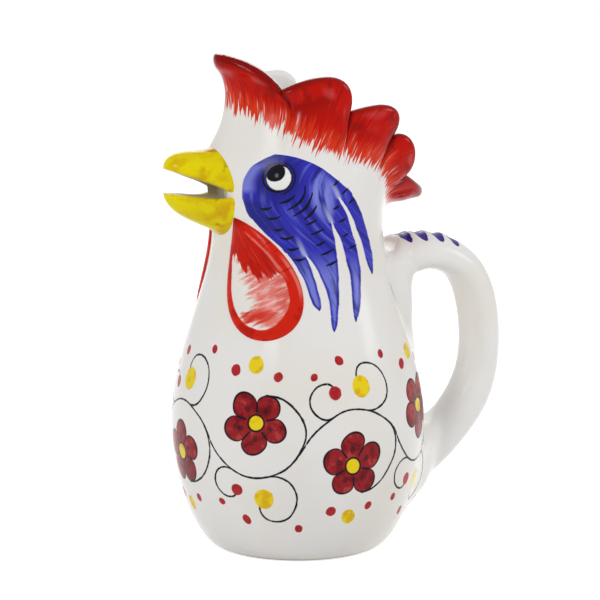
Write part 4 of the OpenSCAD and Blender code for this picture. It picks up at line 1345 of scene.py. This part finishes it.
def dab_paint(flow, place, white):
    hand = noise(place, 220) - 0.5
    run_here, up = attribute(flow, "run") / MM, attribute(flow, "top")
    dabs = []
    for middle in DAB_RUNS:
        along = (run_here - middle + hand * DAB_HAND) / DAB_HALF
        fall = (1 - up) / (DAB_FALL + along * DAB_SLANT)
        dabs.append(1 - along * along - fall * fall)
    painted = reduce(Flow.most, dabs).rise(-0.06, 0.12)
    shade = noise(place, 180, 2).rise(0.4, 0.65)
    return white.over((painted, DAB_BLUE), (painted * shade * 0.8, DAB_DEEP)), painted


handle_glaze = glaze("handle_glaze", dab_paint)

# %% [markdown]
# ## The scroll round the belly
# A vine waves round the belly, with a flower in each bend. Only one bend is drawn, in millimetres across
# and up. The next one is the same bend upside down, so four pairs close the ring. A wrist draws in arcs, so
# each stroke here is a chain of arcs from a start and a heading, and a slow noise moves the whole drawing by
# a millimetre or two, which makes every bend a little different. The angle comes from Object coordinates,
# because a UV map of a ring would have a seam. The bend behind the handle stays bare, and the clay that the
# handle's lower root spreads over the wall carries the painting on, because a jug is painted when it is
# whole.

# %% Arcs that a wrist draws
BENDS, BAND_Z, BAND_R = 8, 63, 63
HANDLE_BEND = 0
SWAY, LIFT = 0.14, 6
BEND_W = 39.6
DRAWN = math.tau * BAND_R / BENDS / BEND_W
VINE_RISE = 13
VINE_R = ((BEND_W / 2) ** 2 + VINE_RISE ** 2) / (2 * VINE_RISE)
VINE_LOW = VINE_RISE - VINE_R
VINE_TURN = math.degrees(math.asin(BEND_W / 2 / VINE_R))


def on_vine(angle):
    angle = math.radians(angle)
    return VINE_R * math.cos(angle), VINE_LOW + VINE_R * math.sin(angle)


def wrist(start, heading, turns):
    """A chain of arcs, each a radius and a turn in degrees: the arcs, and where the chain ends."""
    x, y = start
    arcs = []
    for radius, turned in turns:
        out = heading - math.copysign(90, turned)
        middle = (x - radius * math.cos(math.radians(out)), y - radius * math.sin(math.radians(out)))
        arcs.append((middle, radius, out + turned / 2, abs(turned) / 2))
        end = math.radians(out + turned)
        x, y = middle[0] + radius * math.cos(end), middle[1] + radius * math.sin(end)
        heading += turned
    return arcs, (x, y)


vine, _ = wrist((-BEND_W / 2, 0), VINE_TURN, [(VINE_R, -2 * VINE_TURN)])
stem, _ = wrist(on_vine(50), -40, [(15.8, -140)])
curl, curl_end = wrist(on_vine(76), -14, [(9.5, 205), (5.2, 130)])
hook, hook_end = wrist(on_vine(116), 206, [(6.2, -215), (3.4, -80)])
SCROLL_ARCS = vine + stem + curl + hook
YELLOW_DOTS = [(curl_end, 4.3), ((-1, -30.5), 3.4)]
RED_DOTS = [(hook_end, 2.6), ((-9.5, -27.5), 2.3), ((8.5, -26.5), 1.9), ((-5.5, 32), 2.1), ((17, 34), 1.8),
            ((-16.5, 25.5), 1.6)]
print(len(SCROLL_ARCS), "arcs,", "curl ends at", [round(c, 1) for c in curl_end])


# %% The flower, the strokes and the dots
def distance(u, w, middle):
    du, dw = u - middle[0], w - middle[1]
    return (du * du + dw * dw) ** 0.5, dw.math("ARCTAN2", dw, du)


def arc_stroke(u, w, arc, half):
    middle, radius, out, half_turn = arc
    r, angle = distance(u, w, middle)
    angle = angle - math.radians(out)
    off = abs(angle.math("WRAP", angle, math.pi, -math.pi))
    return (half - abs(r - radius)).least((math.radians(half_turn) - off) * radius)


PETALS, FLOWER_R, HEART_R, LINE = 5, 12.8, 3.3, 0.42
FLOWER_TURN, PETAL_NOTCH, PETAL_ROUND, VEIN_AT = 0.9, 0.62, 0.6, 0.93
GAP_START, VEIN_START = 1.3, 1.5
LINE_SOFT, DAB_SOFT = (-0.15, 0.2), (-0.1, 0.3)


def flower(u, w):
    """Three masks: the petals, their dark lines and the heart."""
    r, angle = distance(u, w, (0, VINE_LOW))
    wave = (angle + FLOWER_TURN) * (PETALS / 2)
    wave = abs(wave.math("COSINE", wave))
    edge = FLOWER_R * mix(PETAL_NOTCH, 1, wave ** PETAL_ROUND)
    petals = edge - r
    gap = (LINE - r * wave * (2 / PETALS)).least(r - HEART_R * GAP_START).least(petals)
    vein = (r - HEART_R * VEIN_START).least(edge * PETAL_NOTCH - r).rise(0, 0.6)
    vein = vein * wave.math("GREATER_THAN", wave, VEIN_AT)
    lines = (LINE - abs(petals)).most(gap).most(LINE - abs(r - HEART_R))
    return petals, lines.rise(*LINE_SOFT).most(vein * 0.6), HEART_R - r


# %% The painted band
FLOWER_RED, FLOWER_DARK, FLOWER_THIN = srgb(146, 28, 34), srgb(96, 10, 20), srgb(186, 70, 66)
DOT_YELLOW, DOT_OCHRE, DOT_RED = srgb(232, 206, 30), srgb(212, 160, 20), srgb(176, 40, 44)


def dotted(u, w, dots, hand):
    return reduce(Flow.most, [radius + hand - distance(u, w, at)[0] for at, radius in dots])


def scroll_paint(flow, place, white):
    x, y, z = place.split(0, 1, 2)
    sway = noise(place, 28, 1) - 0.5
    lift = noise(triple(z, x, y), 31, 1) - 0.5
    share = y.math("ARCTAN2", y, x) * (BENDS / math.tau) + 0.5 + sway * SWAY
    bend = share.math("FLOOR", share)
    shown = 1 - bend.math("COMPARE", bend, HANDLE_BEND, 0.5)
    odd = bend * 0.5
    over_or_under = 1 - odd.math("FRACT", odd) * 4
    u = (share.math("FRACT", share) - 0.5) * BEND_W
    w = (z / MM - BAND_Z + lift * LIFT) * over_or_under / DRAWN
    dabble = noise(place, 170, 3, 0.6)
    hand = (noise(place, 420) - 0.5) * 0.5
    strokes = reduce(Flow.most, [arc_stroke(u, w, arc, LINE + hand) for arc in SCROLL_ARCS])
    strokes = strokes.rise(*LINE_SOFT) * shown
    petals, lines, heart = flower(u, w)
    inside_petals = petals.rise(*DAB_SOFT) * shown
    dots = dotted(u, w, YELLOW_DOTS, hand).most(heart).rise(*DAB_SOFT) * shown
    reds = dotted(u, w, RED_DOTS, hand).rise(*DAB_SOFT) * shown
    colour = white.over(
        (strokes, INK),
        (inside_petals, FLOWER_RED),
        (inside_petals * dabble.rise(0.5, 0.62) * 0.75, FLOWER_DARK),
        (inside_petals * (1 - dabble.rise(0.34, 0.44)) * 0.6, FLOWER_THIN),
        (dots, DOT_YELLOW),
        (dots * dabble.rise(0.48, 0.6) * 0.7, DOT_OCHRE),
        (reds, DOT_RED),
        (reds * dabble.rise(0.5, 0.6) * 0.6, FLOWER_RED),
        (lines * shown, INK))
    return colour, strokes.most(inside_petals).most(dots).most(reds)


scroll_glaze = glaze("scroll_glaze", scroll_paint)

# %% [markdown]
# ## Bare clay under the foot
# The jug stands on its foot in the kiln, so the foot is wiped clean of glaze and shows the buff clay: matt,
# grainy and a little stained. Voronoi could give grains, but fired clay is softer, so two noises do.

# %% Biscuit clay
CLAY, CLAY_DARK = srgb(204, 184, 156), srgb(170, 142, 112)
GRAIN_SCALE, STAIN_SCALE, CLAY_ROUGH = 1400, 70, 0.85
GRAIN_STRENGTH, GRAIN_DEPTH = 0.5, 0.0003
foot_clay = bpy.data.materials.new("foot_clay")
foot_clay.use_nodes = True
clay_flow = Flow(foot_clay.node_tree)
clay_place = clay_flow.node("ShaderNodeTexCoord", output="Object")
grain, tinge = noise(clay_place, GRAIN_SCALE, 3), noise(clay_place, STAIN_SCALE, 3)
clay_colour = (tinge.rise(0.4, 0.7) * 0.6 + grain * 0.3).between(CLAY, CLAY_DARK)
clay_bump = clay_flow.node("ShaderNodeBump", inputs={
    "Strength": GRAIN_STRENGTH, "Distance": GRAIN_DEPTH, "Height": grain})
clay_shader = foot_clay.node_tree.nodes["Principled BSDF"]
foot_clay.node_tree.links.new(clay_colour.socket, clay_shader.inputs["Base Color"])
foot_clay.node_tree.links.new(clay_bump.socket, clay_shader.inputs["Normal"])
clay_shader.inputs["Roughness"].default_value = CLAY_ROUGH
print("clay nodes", len(foot_clay.node_tree.nodes))

# %% Give each piece its glaze
BAND_TOP = 111 * MM
UNDERSIDE, DOWNWARDS, UPWARDS = 2.5 * MM, -0.85, 0.9
BODY_COATS = [neck_glaze, scroll_glaze, inside_glaze, foot_clay]
HANDLE_COATS = [handle_glaze, scroll_glaze]
COATS = [
    (body, BODY_COATS), (head, [comb_glaze]), (handle, HANDLE_COATS),
    (upper_beak, [beak_glaze]), (lower_beak, [beak_glaze]),
    (left_eye, [eye_glaze]), (right_eye, [eye_glaze]),
    (left_wattle, [wattle_glaze]), (right_wattle, [wattle_glaze]),
]
for piece, coats in COATS:
    piece.data.materials.clear()
    for coat in coats:
        piece.data.materials.append(coat)
for face in body.data.polygons:
    outwards = face.normal.x * face.center.x + face.normal.y * face.center.y
    coat = neck_glaze if face.center.z > BAND_TOP else scroll_glaze
    if outwards <= 0 or face.normal.z > UPWARDS:
        coat = inside_glaze
    if face.center.z < UNDERSIDE and face.normal.z < DOWNWARDS:
        coat = foot_clay
    face.material_index = BODY_COATS.index(coat)
for face in handle.data.polygons:
    face.material_index = HANDLE_COATS.index(handle_glaze if face.center.z > BAND_TOP else scroll_glaze)
print("body coats", np.bincount([face.material_index for face in body.data.polygons]))

# %% [markdown]
# ## Hand the pieces over
# Each mesh stands for one piece of the imported model and rides on its body, and the plain piece is hidden.
# The jug has no moving part, so everything rides on the one body.

# %% Replace the plain pieces
PIECES = [
    (body, "vessel_body", "white_glaze"),
    (head, "head", "red_glaze"),
    (upper_beak, "upper_beak", "yellow_glaze"),
    (lower_beak, "lower_beak", "yellow_glaze"),
    (left_eye, "left_eye", "white_glaze"),
    (right_eye, "right_eye", "white_glaze"),
    (left_wattle, "left_wattle", "red_glaze"),
    (right_wattle, "right_wattle", "red_glaze"),
    (handle, "handle", "white_glaze"),
]
for piece, node, slot_name in PIECES:
    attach(piece, "root")
    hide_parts(node)
    print(piece.name, len(piece.data.polygons), "faces for", node)
